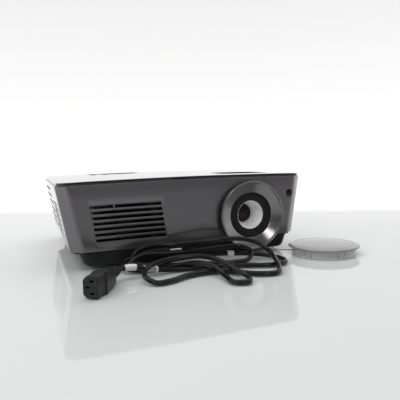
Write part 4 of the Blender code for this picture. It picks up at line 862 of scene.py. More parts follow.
def crowned_plate(name, low_z, high_z, half_x, y_range):
    """A flat bar along Y whose upper and lower faces follow the crown: z = level + crown(x)."""
    x = np.linspace(-half_x, half_x, 73)
    over = np.column_stack([x, high_z + crown(x)])
    under = np.column_stack([x, low_z + crown(x)])[::-1]
    section = np.concatenate([over, under])
    y = np.linspace(*y_range, 24)
    grid = np.stack([np.column_stack([section[:, 0], np.full(len(section), at), section[:, 1]]) for at in y])
    return grid_mesh(name, grid, round_columns=True, ends=True)


def prism(name, corners, low_z, high_z):
    """An upright prism over corners given as (x, y), with its outline as it is seen from above."""
    loop = np.array(corners, float) * (-1, 1)
    return bar_over(name, loop, (low_z, high_z), turned_frame((0, 0, 0), *upright))


def make_cover(side):
    """side is -1 for the wide left cover and 1 for the one over the lens."""
    node = "top_cover" if side < 0 else "lens_top_cover"
    low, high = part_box(node)
    half = TOP_WIDTH / 2 - COVER_INSET
    y = (FRONT_Y + 0.001, REAR_Y - COVER_INSET)
    z = (SHELL_TOP + SEAT_GAP, high.z - CROWN + 0.0008)
    cover = crowned_plate(node + "_plate", *z, half, y)
    middle = turned_frame((0, sum(y) / 2, 0), *upright)
    outline = bar_over("outline", corner_loop(half, (y[1] - y[0]) / 2, 0.019, 10), (0.10, 0.14), middle)
    carve(cover, [outline], "INTERSECT")
    edge = side * SEAM_WIDTH / 2
    far = -side * 0.5
    slope = (SEAM_X[1] - SEAM_X[0]) / (REAR_Y - FRONT_Y)
    ends = (FRONT_Y - 0.05, REAR_Y + 0.05)
    seam = [SEAM_X[0] + slope * (at - FRONT_Y) + edge for at in ends]
    cutters = [prism("other_side", [(seam[0], ends[0]), (seam[1], ends[1]), (far, ends[1]), (far, ends[0])],
                     0.1, 0.15)]
    if side > 0:
        x, at_y, half_x, half_y, radius = FINGER_OPENING
        opening = turned_frame((x, at_y, 0), *upright)
        cutters.append(bar_over("opening", corner_loop(half_x, half_y, radius, 12), (0.1, 0.15), opening))
    else:
        seat = turned_frame((*KEYPAD_AT, 0), *upright)
        loop = corner_loop(KEYPAD_HALF[0] + SEAT_GAP, KEYPAD_HALF[1] + SEAT_GAP, 0.004, 4)
        cutters.append(bar_over("keypad_opening", loop, (0.1, 0.15), seat))
    carve(cover, cutters)
    soften(cover, 0.00035, 2, 40)
    return fit(cover, "projector", piano_black, "gloss_black", node)


top_cover = make_cover(-1)
lens_top_cover = make_cover(1)


# ---- Tray ----
# The moulded black tray that everything stands on. It is narrower than the shell, leans out as it rises and
# ends in a flange inside the shell's foot. Bosses for a ceiling bracket and posts for boards grow from it.

TRAY_BOTTOM = 0.0045
TRAY_FLOOR = 0.0072
TRAY_WIDTHS = (0.318, 0.334)
TRAY_SETBACK = 0.002
CEILING_HOLES = ((-0.110, 0.030), (0.030, 0.030), (-0.110, 0.235), (0.100, 0.185))
FOOT_STEM = 0.0060
REAR_FOOT = (0.125, 0.258)
SCREW_HOLE = 0.0043
BOSS_RADIUS = 0.0062
RELEASE_HALF = (0.012, 0.004)
RELEASE_Z = 0.0155
tray_plastic = finish("tray_plastic", (0.0105, 0.0110, 0.0115), 0.38, grain=(1500.0, 0.00006), wave=0.25,
                      smear=0.10, dust=0.10, Specular_IOR_Level=0.26)
door_low, door_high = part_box("lamp_door")


def tray_section():
    """(half width, half depth, corner radius, height) of each loop, over the outside and back inside."""
    half_depth = (REAR_Y - FRONT_Y) / 2 - TRAY_SETBACK
    top = SHELL_BOTTOM - SEAT_GAP
    slope = (TRAY_WIDTHS[1] - TRAY_WIDTHS[0]) / 2 / (SHELL_BOTTOM - TRAY_BOTTOM)
    section = []
    for inset, z in [(0.0060 - a, b) for a, b in arc((0, TRAY_BOTTOM + 0.0060), 0.0060, 270, 360, 7)]:
        width = TRAY_WIDTHS[0] / 2 + slope * (z - TRAY_BOTTOM)
        section.append((width - inset, half_depth - inset, 0.014 - inset * 0.8, z))
    section.append((TRAY_WIDTHS[1] / 2 - 0.0004, half_depth, 0.014, top - 0.0014))
    shelf = (LOW_WIDTH / 2 - SHELL_WALL - 2 * SEAT_GAP, (REAR_Y - FRONT_Y) / 2 - SHELL_WALL - 2 * SEAT_GAP,
             0.017)
    section += [(*shelf, top - 0.0012), (*shelf, SHELL_BOTTOM + 0.0040)]
    wall = 0.0025
    section.append((TRAY_WIDTHS[1] / 2 - wall, half_depth - wall, 0.0115, SHELL_BOTTOM + 0.0040))
    section.append((TRAY_WIDTHS[0] / 2 - wall - 0.003, half_depth - wall, 0.0115, TRAY_FLOOR))
    return section


def post(name, at, radius, low_z, high_z, bore=0.0, steps=24):
    """An upright round post, hollow from its top down where bore is given, with a soft rim."""
    top = arc((radius - 0.0003, high_z - 0.0003), 0.0003, 0, 90, 3)
    outside = [(0, low_z), (radius, low_z), *top]
    inside = [(bore, high_z), (bore, low_z + 0.001), (0, low_z + 0.001)] if bore else [(0, high_z)]
    return lathe(name, outside + inside, standing(*at), steps, closed=False)


def make_tray():
    section = tray_section()
    place = turned_frame((0, (FRONT_Y + REAR_Y) / 2, 0), *upright)
    loops = [corner_loop(x, y, max(r, 0.001), 8) for x, y, r, _ in section]
    tray = stacked("bottom_case_tray", loops, [row[3] for row in section], place)
    lens = rod("lens_hole", LENS_HOLE, (-0.02, 0.02),
               turned_frame((LENS_X, FRONT_Y, LENS_Z), (0, -1, 0)), 72)
    stem = rod("stem_hole", FOOT_STEM + SEAT_GAP, (-0.01, 0.06), standing(0.0, 0.0))
    screw = rod("screw_hole", SCREW_HOLE, (-0.01, 0.06), standing(*REAR_FOOT))
    release = bar_over("release_hole", corner_loop(RELEASE_HALF[0] + SEAT_GAP, RELEASE_HALF[1] + SEAT_GAP,
                                                   0.0015, 3), (-0.02, 0.02),
                       turned_frame((0, FRONT_Y, RELEASE_Z), (0, -1, 0)))
    middle = ((door_low.x + door_high.x) / 2, (door_low.y + door_high.y) / 2, 0)
    door = bar_over("door_hole", corner_loop((door_high.x - door_low.x) / 2 + SEAT_GAP,
                                             (door_high.y - door_low.y) / 2 + SEAT_GAP, 0.003, 4),
                   (-0.01, TRAY_FLOOR + 0.001), turned_frame(middle, *upright))
    holes = [rod(f"bracket_hole_{i}", BOSS_RADIUS, (-0.01, 0.02), standing(*at), 24)
             for i, at in enumerate(CEILING_HOLES)]
    carve(tray, [lens, stem, screw, release, door, *holes])
    soften(tray, 0.0004, 2, 40)
    extras = []
    for i, at in enumerate(CEILING_HOLES):
        ring = [(0.0060, TRAY_BOTTOM - 0.0005), (BOSS_RADIUS, TRAY_BOTTOM - 0.0003),
                (BOSS_RADIUS, TRAY_FLOOR + 0.0068), (0.0022, TRAY_FLOOR + 0.0068),
                (0.0020, TRAY_FLOOR + 0.0050), (0.0020, TRAY_BOTTOM - 0.0002), (0.0024, TRAY_BOTTOM - 0.0005)]
        extras.append(lathe(f"ceiling_boss_{i}", ring, standing(*at), 32))
    for at, bore, top in (((0, 0), FOOT_STEM + SEAT_GAP, 0.030), (REAR_FOOT, SCREW_HOLE, 0.026)):
        ring = [(bore + 0.003, TRAY_FLOOR - 0.001), (bore + 0.003, top - 0.0005), (bore + 0.0025, top),
                (bore, top), (bore, TRAY_FLOOR - 0.001)]
        extras.append(lathe("guide", ring, standing(*at), 32))
    for low, high in (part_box("main_board"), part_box("power_supply")):
        extras += [post("board_post", (x, y), 0.0032, TRAY_FLOOR - 0.001, low.z - SEAT_GAP, 0.0012, 16)
                   for x in (low.x + 0.005, high.x - 0.005) for y in (low.y + 0.005, high.y - 0.005)]
    whole = settle(merged("bottom_case_moulding", [tray, *extras]))
    return fit(whole, "projector", tray_plastic, "matte_black", "bottom_case")


def make_lamp_door():
    """A flat door in the tray's floor with five finger ribs cut into it and a sunk recess for one screw."""
    middle = ((door_low.x + door_high.x) / 2, (door_low.y + door_high.y) / 2, 0)
    half = ((door_high.x - door_low.x) / 2, (door_high.y - door_low.y) / 2)
    panel = moulded_block("lamp_door_panel", *half, (door_low.z, door_high.z), 0.003, 0.0004,
                          turned_frame(middle, *upright), 4)
    grooves = [prism("groove", [(middle[0] - 0.012, y), (middle[0] + 0.012, y),
                                (middle[0] + 0.012, y + 0.0014), (middle[0] - 0.012, y + 0.0014)], 0,
                     door_low.z + 0.0006) for y in middle[1] - 0.030 + 0.0030 * np.arange(5)]
    sunk = rod("screw_recess", 0.0036, (door_low.z + 0.0010, 0.0),
                 standing(middle[0], door_high.y - 0.007), 28)
    carve(panel, [*grooves, sunk])
    return fit(panel, "projector", tray_plastic, "matte_black", "lamp_door")


bottom_case = make_tray()
lamp_door = make_lamp_door()


# ---- Lens ----
# A wide shallow cone of the shell's lacquer frames the lens. In it slides a black barrel that holds a grey
# ribbed baffle and a coated front element; behind, the focus and zoom rings turn on the fixed lens barrel.

RING_RADIUS = 0.0534
RING_STAND = 0.012
BARREL_RADIUS = 0.0345
BARREL_MOUTH = 0.0225
GLASS_RADIUS = 0.0145
CORE_RADIUS = 0.0320
GRIP_RADIUS = 0.0455
GLASS_SEAT = -0.0298
lens_frame = turned_frame((LENS_X, FRONT_Y, LENS_Z), (0, -1, 0))
ring_lacquer = finish("ring_lacquer", (0.185, 0.178, 0.182), 0.15, metallic=0.92, grain=(2600.0, 0.000006),
                      wave=0.1, smear=0.05, dust=0.05, Coat_Weight=0.8, Coat_Roughness=0.05)
lens_black = finish("lens_black", (0.0085, 0.0085, 0.009), 0.34, grain=(2200.0, 0.00003), smear=0.08,
                    dust=0.03, Specular_IOR_Level=0.22)
baffle_grey = finish("baffle_grey", (0.93, 0.93, 0.93), 0.30, grain=(2600.0, 0.00001), dust=0.02)
coated_glass = finish("coated_glass", (0.008, 0.004, 0.006), 0.02, grain=(50.0, 0.000001), smear=0.01,
                      dust=0.01, Specular_IOR_Level=0.32, Specular_Tint=(1.0, 0.84, 0.90, 1))
grip_rubber = finish("grip_rubber", (0.018, 0.018, 0.018), 0.52, grain=(1400.0, 0.00004), smear=0.10,
                     dust=0.16)


def make_lens_ring():
    rim, sleeve = RING_RADIUS, 0.045
    bore = BARREL_RADIUS + 0.0006
    rounded = arc((rim - 0.0011, RING_STAND - 0.0011), 0.0011, 0, 90, 6)
    lip = [(rim - 0.0022, RING_STAND - 0.0001), (rim - 0.0028, RING_STAND - 0.0009)]
    cone = [(bore + 0.0012 + (rim - 0.0028 - bore - 0.0012) * s, 0.0042 + (RING_STAND - 0.0051) * s)
            for s in (0.85, 0.7, 0.55, 0.4, 0.25, 0.1, 0.0)]
    inner = [(bore + 0.0004, 0.0039), (bore, 0.0034), (bore, 0.0005), (sleeve - 0.0025, 0.0005),
             (sleeve - 0.0025, -0.012), (sleeve, -0.012), (sleeve, 0.0026)]
    back = [(rim - 0.0060, 0.0040), (rim - 0.0034, 0.0050), (rim - 0.0008, RING_STAND - 0.0062),
            (rim, RING_STAND - 0.0052)]
    ring = settle(lathe("lens_ring_turned", [*rounded, *lip, *cone, *inner, *back], lens_frame, 144), 50)
    return fit(ring, "projector", ring_lacquer, "gunmetal_paint", "lens_ring")


def make_front_barrel():
    neck = CORE_RADIUS - 0.005
    shoulder = -0.040
    lip = arc((BARREL_RADIUS - 0.0010, 0.0020), 0.0010, 0, 90, 5)
    mouth = arc((BARREL_MOUTH + 0.0008, 0.0022), 0.0008, 90, 180, 5)
    face = [(BARREL_RADIUS - 0.0026, 0.0030), (BARREL_RADIUS - 0.0030, 0.0026),
            (BARREL_RADIUS - 0.0034, 0.0026), (BARREL_RADIUS - 0.0038, 0.0030)]
    barrel = [*lip, *face, *mouth, (BARREL_MOUTH, GLASS_SEAT), (GLASS_RADIUS - 0.0025, GLASS_SEAT),
              (GLASS_RADIUS - 0.0025, GLASS_SEAT - 0.006), (neck - 0.0025, GLASS_SEAT - 0.006),
              (neck - 0.0025, shoulder - 0.025), (neck, shoulder - 0.025), (neck, shoulder),
              (BARREL_RADIUS, shoulder)]
    turned = settle(lathe("front_barrel_turned", barrel, lens_frame, 128), 40)
    return fit(turned, "focus_group", lens_black, "matte_black", "front_barrel")


def make_baffle():
    """A funnel from the mouth to the glass in four steps, each a groove, a flat tread and a sloping riser.

    Step edges lie at equal shares of the way from the inner radius out and from the seat up."""
    outer, inner = BARREL_MOUTH - SEAT_GAP, GLASS_RADIUS + 0.0006
    low = GLASS_SEAT + SEAT_GAP
    steps = 4
    radii = np.linspace(inner, outer - 0.0008, steps + 1)
    levels = np.linspace(low + 0.0010, 0.0008, steps + 1)
    funnel = [(inner, levels[0])]
    for radius, after, height, following in zip(radii, radii[1:], levels, levels[1:]):
        tread = radius + 0.62 * (after - radius)
        funnel += [(tread - 0.0003, height), (tread - 0.0003, height - 0.0006), (tread, height - 0.0006),
                   (tread, height + 0.0003), (after - 0.00004, following)]
    profile = [(outer, 0.0008), (outer, low), (inner, low), *funnel]
    baffle = settle(lathe("lens_baffle_turned", profile, lens_frame, 112), 20)
    return fit(baffle, "focus_group", baffle_grey, "silver_plastic", "lens_baffle")


def make_front_glass():
    """A spherical cap over a short cylinder: height = edge + dome * (sqrt(1 - 0.9 s^2) - sqrt(0.1))."""
    dome, edge = 0.0046, -0.026
    s = np.linspace(0, 1, 20)
    curve = [(GLASS_RADIUS * a, edge + dome * ((1 - 0.9 * a * a) ** 0.5 - 0.1 ** 0.5)) for a in s]
    profile = [*curve, (GLASS_RADIUS, GLASS_SEAT + SEAT_GAP), (0, GLASS_SEAT + SEAT_GAP)]
    glass = settle(lathe("front_lens_glass", profile, lens_frame, 96, closed=False), 40)
    return fit(glass, "focus_group", coated_glass, "coated_glass", "front_lens")


def make_lens_core():
    long = 0.0772
    at = turned_frame((LENS_X, 0.0892, LENS_Z), (0, -1, 0))
    neck = CORE_RADIUS - 0.0045
    profile = [(CORE_RADIUS - 0.0004, long), (CORE_RADIUS, long - 0.0004), (CORE_RADIUS, 0.0044),
               (CORE_RADIUS + 0.0085, 0.0040), (CORE_RADIUS + 0.009, 0.0035), (CORE_RADIUS + 0.009, 0),
               (0.016, 0), (0.016, long - 0.032), (neck, long - 0.032), (neck, long)]
    core = settle(lathe("lens_barrel_turned", profile, at, 96), 40)
    return fit(core, "projector", lens_black, "matte_black", "lens_barrel")


def ribbed_ring(name, y, ribs, rib_depth):
    """A grip ring on the lens axis with plain rims.

    Between them the radius is the grip radius - depth * (0.5 + 0.5 cos(ribs * angle))^3."""
    long = y[1] - y[0]
    at = turned_frame((LENS_X, y[1], LENS_Z), (0, -1, 0))
    inner = CORE_RADIUS + 0.0004
    profile = [(GRIP_RADIUS - 0.0010, long, 0), (GRIP_RADIUS, long - 0.0010, 0),
               (GRIP_RADIUS, long - 0.0024, 0), (GRIP_RADIUS, long - 0.0028, 1), (GRIP_RADIUS, 0.0028, 1),
               (GRIP_RADIUS, 0.0024, 0), (GRIP_RADIUS, 0.0010, 0), (GRIP_RADIUS - 0.0010, 0, 0),
               (inner, 0, 0), (inner, long, 0)]
    angle = np.linspace(0, 2 * pi, ribs * 8, endpoint=False)
    valley = rib_depth * (0.5 + 0.5 * np.cos(ribs * angle)) ** 3
    rows = [np.column_stack([(r - on * valley) * np.cos(angle), (r - on * valley) * np.sin(angle),
                             np.full(len(angle), h)]) for r, h, on in profile]
    return grid_mesh(name, set_in(at, np.stack(rows)), round_rows=True, round_columns=True)


def make_grips():
    focus = settle(ribbed_ring("focus_ring_grip", (0.016, 0.036), 60, 0.0010))
    fit(focus, "focus_ring", grip_rubber, "matte_black", "focus_ring")
    ring = ribbed_ring("zoom_ring_grip", (0.046, 0.066), 60, 0.0010)
    lean = radians(26)
    out = (sin(lean), 0, cos(lean))
    at = turned_frame((LENS_X, 0.056, LENS_Z), out, (0, 1, 0))
    lever = moulded_block("zoom_lever", 0.0035, 0.005, (GRIP_RADIUS - 0.002, 0.0580), 0.0020, 0.0010, at, 4)
    zoom = settle(merged("zoom_ring_grip_and_lever", [ring, lever]))
    fit(zoom, "zoom_ring", grip_rubber, "matte_black", "zoom_ring")
    return focus, zoom


lens_ring = make_lens_ring()
front_barrel = make_front_barrel()
lens_baffle = make_baffle()
front_lens = make_front_glass()
lens_core = make_lens_core()
focus_ring, zoom_ring = make_grips()


# ---- Infrared window ----
# A small dark-red acrylic button pressed into the front panel, through which the handset is heard.

window_acrylic = finish("window_acrylic", (0.010, 0.003, 0.004), 0.08, grain=(80.0, 0.000002), dust=0.02,
                        Specular_IOR_Level=0.28)
window_low, window_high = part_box("front_ir_window")
window_at = turned_frame(((window_low.x + window_high.x) / 2, window_low.y,
                          (window_low.z + window_high.z) / 2), (0, -1, 0))
window_radius = (window_high.x - window_low.x) / 2
window_depth = window_high.y - window_low.y
window_profile = [(0, 0.0004), *[(window_radius * s, 0.0004 * (1 - s * s)) for s in (0.3, 0.6, 0.8)],
                  *arc((window_radius - 0.0005, -0.0005), 0.0005, 80, 0, 4), (window_radius, -window_depth),
                  (0, -window_depth)]
ir_window = settle(lathe("front_ir_window_button", window_profile, window_at, 56, closed=False), 40)
fit(ir_window, "projector", window_acrylic, "gloss_black", "front_ir_window")


# ---- Keypad ----
# A gloss-black panel let into the wide cover with eight round keys and one clear strip over its lamps. The
# keys are moulded in one grey-black resin; their arrows and bars are printed in pale ink.

KEY_RADIUS = 0.0050
KEYPAD_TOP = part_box("keypad_panel")[1].z - 0.0005  # level with the cover, which rises past it on the right
KEY_SINK = 0.0008
KEYS = {
    "enter_key": (0.000, 0.000), "up_key": (0.000, 0.015), "down_key": (0.000, -0.015),
    "left_key": (-0.015, 0.000), "right_key": (0.015, 0.000), "power_key": (-0.036, 0.013),
    "menu_key": (0.036, 0.013), "source_key": (0.036, -0.013),
}
key_resin = finish("key_resin", (0.040, 0.041, 0.043), 0.30, grain=(1800.0, 0.00002), smear=0.10, dust=0.08)
pale_ink = finish("pale_ink", (0.62, 0.63, 0.62), 0.45, grain=(900.0, 0.000004), dust=0.04)
lamp_strip = finish("lamp_strip", (0.42, 0.45, 0.46), 0.12, grain=(400.0, 0.00001), dust=0.03,
                    Transmission_Weight=0.4, Coat_Weight=0.5)


def make_keypad_panel():
    place = turned_frame((*KEYPAD_AT, 0), *upright)
    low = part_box("keypad_panel")[0].z
    panel = moulded_block("keypad_panel_face", *KEYPAD_HALF, (low, KEYPAD_TOP), 0.004, 0.0005, place, 6)
    pockets = []
    for dx, dy in KEYS.values():
        at = standing(KEYPAD_AT[0] + dx, KEYPAD_AT[1] + dy)
        radius = KEY_RADIUS + SEAT_GAP
        pocket = [(0, 0.13), (radius + 0.0004, 0.13), (radius + 0.0004, KEYPAD_TOP),
                  (radius, KEYPAD_TOP - 0.0004), (radius, low + 0.0012), (0, low + 0.0012)]
        pockets.append(lathe("key_pocket", pocket, at, 48, closed=False))
    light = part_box("keypad_light")
    middle = ((light[0].x + light[1].x) / 2, (light[0].y + light[1].y) / 2, 0)
    half = [(light[1][k] - light[0][k]) / 2 + SEAT_GAP for k in (0, 1)]
    pockets.append(bar_over("light_pocket", corner_loop(*half, 0.0018, 4), (light[0].z - SEAT_GAP, 0.13),
                           turned_frame(middle, *upright)))
    carve(panel, pockets)
    return fit(panel, "projector", piano_black, "gloss_black", "keypad_panel")


def key_mark(name, at, z, outlines):
    """Flat printed marks on a key: each outline is a loop of points about the key's middle, 0.04 mm thick."""
    pieces = [prism(name, np.array(loop) + at, z - 0.00002, z + 0.00004) for loop in outlines]
    return settle(merged(name + "_print", pieces), 30)


def ring_band(radius, width, start, stop, count):
    """A loop round an arc-shaped band, out along one radius and back along the other, angles in degrees."""
    outer = arc((0, 0), radius + width / 2, start, stop, count)
    inner = arc((0, 0), radius - width / 2, stop, start, count)
    return [*outer, *inner]


def bar(x, y, half_x, half_y):
    return [(x - half_x, y - half_y), (x + half_x, y - half_y), (x + half_x, y + half_y),
            (x - half_x, y + half_y)]


arrow = np.array([(-0.0015, -0.0008), (0.0015, -0.0008), (0.0, 0.0012)])
quarter = np.array([(0, 1), (-1, 0)])
KEY_MARKS = {"enter_key": [ring_band(0.0012, 0.0005, 0, 179, 12), ring_band(0.0012, 0.0005, 180, 359, 12)],
             "up_key": [arrow], "down_key": [-arrow], "left_key": [arrow @ quarter @ quarter @ quarter],
             "right_key": [arrow @ quarter], "power_key": [ring_band(0.0014, 0.0004, 125, 415, 20),
                                                           bar(0, 0.0012, 0.0002, 0.0009)],
             "menu_key": [bar(0, d, 0.0014, 0.0002) for d in (-0.0009, 0.0, 0.0009)],
             "source_key": [bar(0, -0.0012, 0.0014, 0.0002), bar(0, 0.0012, 0.0014, 0.0002),
                            bar(-0.0012, 0, 0.0002, 0.0010), bar(0.0012, 0, 0.0002, 0.0010)]}


def make_key(node, offset):
    low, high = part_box(node)
    top = high.z - KEY_SINK
    at = np.array(KEYPAD_AT) + offset
    dish = [(KEY_RADIUS * s * 0.84, top - 0.00022 * (1 - s * s)) for s in np.linspace(0, 1, 8)]
    rim = arc((KEY_RADIUS - 0.0005, top - 0.0005), 0.0005, 80, 0, 5)
    profile = [*dish, *rim, (KEY_RADIUS, low.z), (0, low.z)]
    key = settle(lathe(node + "_cap", profile, standing(*at), 48, closed=False), 40)
    fit(key, node, key_resin, "gloss_black", node)
    mark = key_mark(node, at, top - 0.00018, KEY_MARKS[node])
    fit(mark, node, pale_ink, "silver_plastic")
    return key


keypad_panel = make_keypad_panel()
keys = [make_key(node, np.array(offset)) for node, offset in KEYS.items()]
light_low, light_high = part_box("keypad_light")
light_middle = ((light_low.x + light_high.x) / 2, (light_low.y + light_high.y) / 2, 0)
light_strip = moulded_block("keypad_light_strip", (light_high.x - light_low.x) / 2,
                            (light_high.y - light_low.y) / 2, (light_low.z, KEYPAD_TOP + 0.0001), 0.0016,
                            0.0003, turned_frame(light_middle, *upright), 5)
fit(settle(light_strip), "projector", lamp_strip, "clear_plastic", "keypad_light")


# ---- Feet and release button ----
# Moulded rubber feet: a plain pad at the rear left, a threaded one at the rear right that levels the case,
# and a drop foot at the front, held by a catch that the button in the tray's front frees.

foot_rubber = finish("foot_rubber", (0.016, 0.016, 0.017), 0.55, grain=(1100.0, 0.00006), smear=0.10,
                     dust=0.20)
zinc_steel = finish("zinc_steel", (0.56, 0.56, 0.55), 0.28, metallic=1.0, grain=(1800.0, 0.00001), dust=0.04)


def pad_profile(radius, high):
    """Half a foot's section: a flat sole with two grooves, a rounded edge and a chamfered top."""
    sole = [(0, 0.0003), (radius * 0.35, 0.0003), (radius * 0.38, 0), (radius * 0.6, 0),
            (radius * 0.62, 0.0004), (radius * 0.68, 0.0004), (radius * 0.70, 0)]
    return [*sole, *arc((radius - 0.0010, 0.0010), 0.0010, 270, 360, 5), (radius, high - 0.0005),
            (radius - 0.0005, high)]


def make_feet():
    front_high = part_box("front_foot")[1]
    profile = [*pad_profile(0.0110, 0.0040), (FOOT_STEM + 0.0008, 0.0040), (FOOT_STEM, 0.0046),
               (FOOT_STEM, front_high.z - 0.0006), (FOOT_STEM - 0.0006, front_high.z), (0, front_high.z)]
    front = settle(lathe("front_foot_and_stem", profile, standing(0.0, 0.0), 56, closed=False))
    fit(front, "front_foot", foot_rubber, "black_rubber", "front_foot")
    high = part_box("rear_foot_pad")[1].z
    left = standing(-REAR_FOOT[0], REAR_FOOT[1])
    pad = settle(lathe("rear_foot_pad_rubber", [*pad_profile(0.0125, high), (0, high)], left, 56,
                       closed=False))
    fit(pad, "projector", foot_rubber, "black_rubber", "rear_foot_pad")
    right = standing(*REAR_FOOT)
    scallop = np.linspace(0, 2 * pi, 144, endpoint=False)
    edge = 0.0006 * (0.5 + 0.5 * np.cos(18 * scallop)) ** 2
    seat = SCREW_HOLE
    rows = [*pad_profile(0.0125, high), (seat, high), (seat, high - 0.0015), (0, high - 0.0015)]
    grid = []
    for r, z in rows:
        scalloped = r - edge * (r > 0.0110)
        grid.append(np.column_stack([scalloped * np.cos(scallop), scalloped * np.sin(scallop),
                                     np.full(144, z)]))
    knob = settle(grid_mesh("rear_foot_knob_rubber", set_in(right, np.stack(grid)), round_columns=True))
    fit(knob, "rear_foot_knob", foot_rubber, "black_rubber", "rear_foot_knob")
    screw_low, screw_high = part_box("rear_foot_screw")
    levels = np.arange(screw_low.z + 0.0008, screw_high.z - 0.0006, 0.00035)
    thread = [(0.0040 - 0.00045 * (k % 2), z) for k, z in enumerate(levels)]
    profile = [(0, screw_low.z), (0.0036, screw_low.z), *thread, (0.0034, screw_high.z), (0, screw_high.z)]
    screw = settle(lathe("rear_foot_screw_thread", profile, right, 40, closed=False), 60)
    fit(screw, "rear_foot_screw", zinc_steel, "bare_metal", "rear_foot_screw")


def make_release():
    """The button that frees the front foot, with three ribs across its face for the thumb."""
    low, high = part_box("foot_release_button")
    at = turned_frame((0, high.y, RELEASE_Z), (0, -1, 0))
    long = high.y - low.y
    button = moulded_block("foot_release_face", *RELEASE_HALF, (0, long), 0.0015, 0.0005, at, 4)
    grooves = [bar_over("rib_gap", corner_loop(0.0085, 0.00035, 0.0003, 2), (long - 0.0004, long + 0.002),
                        turned_frame((0, high.y, RELEASE_Z + drop), (0, -1, 0)))
               for drop in (-0.0016, 0.0, 0.0016)]
    carve(button, grooves)
    return fit(button, "foot_release", tray_plastic, "matte_black", "foot_release_button")


make_feet()
make_release()


# ---- Lens cap ----
# A grey moulded disc with a clear push-on skirt cut into claws, lying face up where it was put down, still
# tied to the case by a thin black thread.

CAP_AT = (0.196, -0.086)
CAP_RADIUS = 0.0540
SKIRT_RADIUS = 0.0480
SKIRT_HEIGHT = 0.0110
cap_grey = finish("cap_grey", (0.215, 0.218, 0.222), 0.20, grain=(300.0, 0.00002), wave=0.2, smear=0.10,
                  dust=0.10, Coat_Weight=0.5, Coat_Roughness=0.10)
skirt_clear = finish("skirt_clear", (0.96, 0.97, 0.97), 0.12, grain=(400.0, 0.00001), dust=0.02,
                     Transmission_Weight=0.65, IOR=1.38)
thread_black = finish("thread_black", (0.020, 0.020, 0.020), 0.60, grain=(3500.0, 0.00006), dust=0.05)
cap_frame = standing(*CAP_AT)


def make_cap_face():
    """A shallow dome with a step and a fine groove near its rim, then a rounded edge."""
    low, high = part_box("lens_cap_face")
    rim, top = CAP_RADIUS, high.z
    dome = [(rim * s, top - 0.0022 * s**2.2) for s in np.linspace(0, 0.80, 22)]
    level = dome[-1][1]
    step = [(rim * 0.806, level - 0.00005), (rim * 0.812, level - 0.00035), (rim * 0.832, level - 0.00040),
            (rim * 0.840, level - 0.00012)]
    band = [(rim * s, level - 0.00012 - 0.0008 * ((s - 0.84) / 0.13) ** 2) for s in (0.88, 0.92, 0.955)]
    edge = arc((rim - 0.0013, top - 0.0036), 0.0013, 62, 0, 6)
    under = [(rim - 0.0004, low.z + 0.0002), (rim - 0.0008, low.z), (0, low.z)]
    face = settle(lathe("lens_cap_disc", [*dome, *step, *band, *edge, *under], cap_frame, 144, closed=False),
                  30)
    return fit(face, "lens_cap", cap_grey, "cap_grey", "lens_cap_face")


def make_cap_skirt():
    outer, inner = SKIRT_RADIUS, SKIRT_RADIUS - 0.0016
    profile = [(outer, SKIRT_HEIGHT), (outer, 0.0030), (outer + 0.0004, 0.0022), (outer + 0.0004, 0.0014),
               (outer - 0.0002, 0.0), (inner + 0.0002, 0.0), (inner, 0.0004), (inner, SKIRT_HEIGHT)]
    skirt = lathe("lens_cap_claws", profile, cap_frame, 144)
    slits = []
    for angle in np.radians((20, 32, 80, 92, 140, 152)):
        across = (cos(angle), sin(angle), 0)
        place = turned_frame((*CAP_AT, 0), across)
        slits.append(bar_over("slit", corner_loop(0.0006, 0.0075, 0.0004, 2), (-0.06, 0.06), place))
    carve(skirt, slits)
    return fit(skirt, "lens_cap", skirt_clear, "clear_plastic", "lens_cap_skirt")


TETHER_ROUTE = [
    (0.1450, 0.0180, 0.0036), (0.1452, -0.0020, 0.0024), (0.1440, -0.0240, 0.0010), (0.1405, -0.0440, 0.0024),
    (0.1418, -0.0620, 0.0056), (0.1448, -0.0730, 0.0074), (0.1487, -0.0758, 0.0080),
]


def make_tether():
    """A braided thread: rings along the route whose radius is 0.55 mm * (1 + 0.08 sin(3 a + 0.9 k))."""
    path = smooth_route(TETHER_ROUTE, 0.0006)
    sides = 12
    side, up = path_frames(path)
    angle = np.linspace(0, 2 * pi, sides, endpoint=False)[None, :]
    ripple = 0.0006 * (1 + 0.08 * np.sin(3 * angle + 0.9 * np.arange(len(path))[:, None])) / 1.08
    around = np.cos(angle)[..., None] * side[:, None] + np.sin(angle)[..., None] * up[:, None]
    ring = ripple[..., None] * around
    thread = settle(grid_mesh("lens_cap_thread", path[:, None] + ring, round_columns=True, ends=True), 60)
    thread.data.materials.append(thread_black)
    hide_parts("lens_cap_tether")
    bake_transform(thread)
    return thread


make_cap_face()
make_cap_skirt()
make_tether()


# ---- Rear panel, sockets and power inlet ----
# A pressed black plate fills the opening at the back, round plated sockets that stand on the main board. The
# power inlet is a moulded block with its own flange, snapped in from outside beside it.

plate_low, plate_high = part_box("rear_io_plate")
inlet_low, inlet_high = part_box("ac_inlet")
plate_black = finish("plate_black", (0.013, 0.013, 0.014), 0.48, grain=(1900.0, 0.00008), wave=0.2, dust=0.10)
plated_shell = finish("plated_shell", (0.60, 0.60, 0.58), 0.24, metallic=1.0, grain=(900.0, 0.00001),
                      smear=0.10, dust=0.05)
socket_black = finish("socket_black", (0.010, 0.010, 0.011), 0.40, grain=(1300.0, 0.00003), dust=0.08)
vga_blue = finish("vga_blue", (0.022, 0.060, 0.240), 0.38, grain=(1300.0, 0.00002), dust=0.05)
contact_gold = finish("contact_gold", (0.82, 0.60, 0.26), 0.25, metallic=1.0, grain=(900.0, 0.000005),
                      dust=0.02)
JACK_COLOURS = ((0.050, 0.190, 0.300), (0.060, 0.240, 0.080), (0.420, 0.110, 0.170))


def facing_rear(x, y, z):
    return turned_frame((x, y, z), (0, 1, 0))


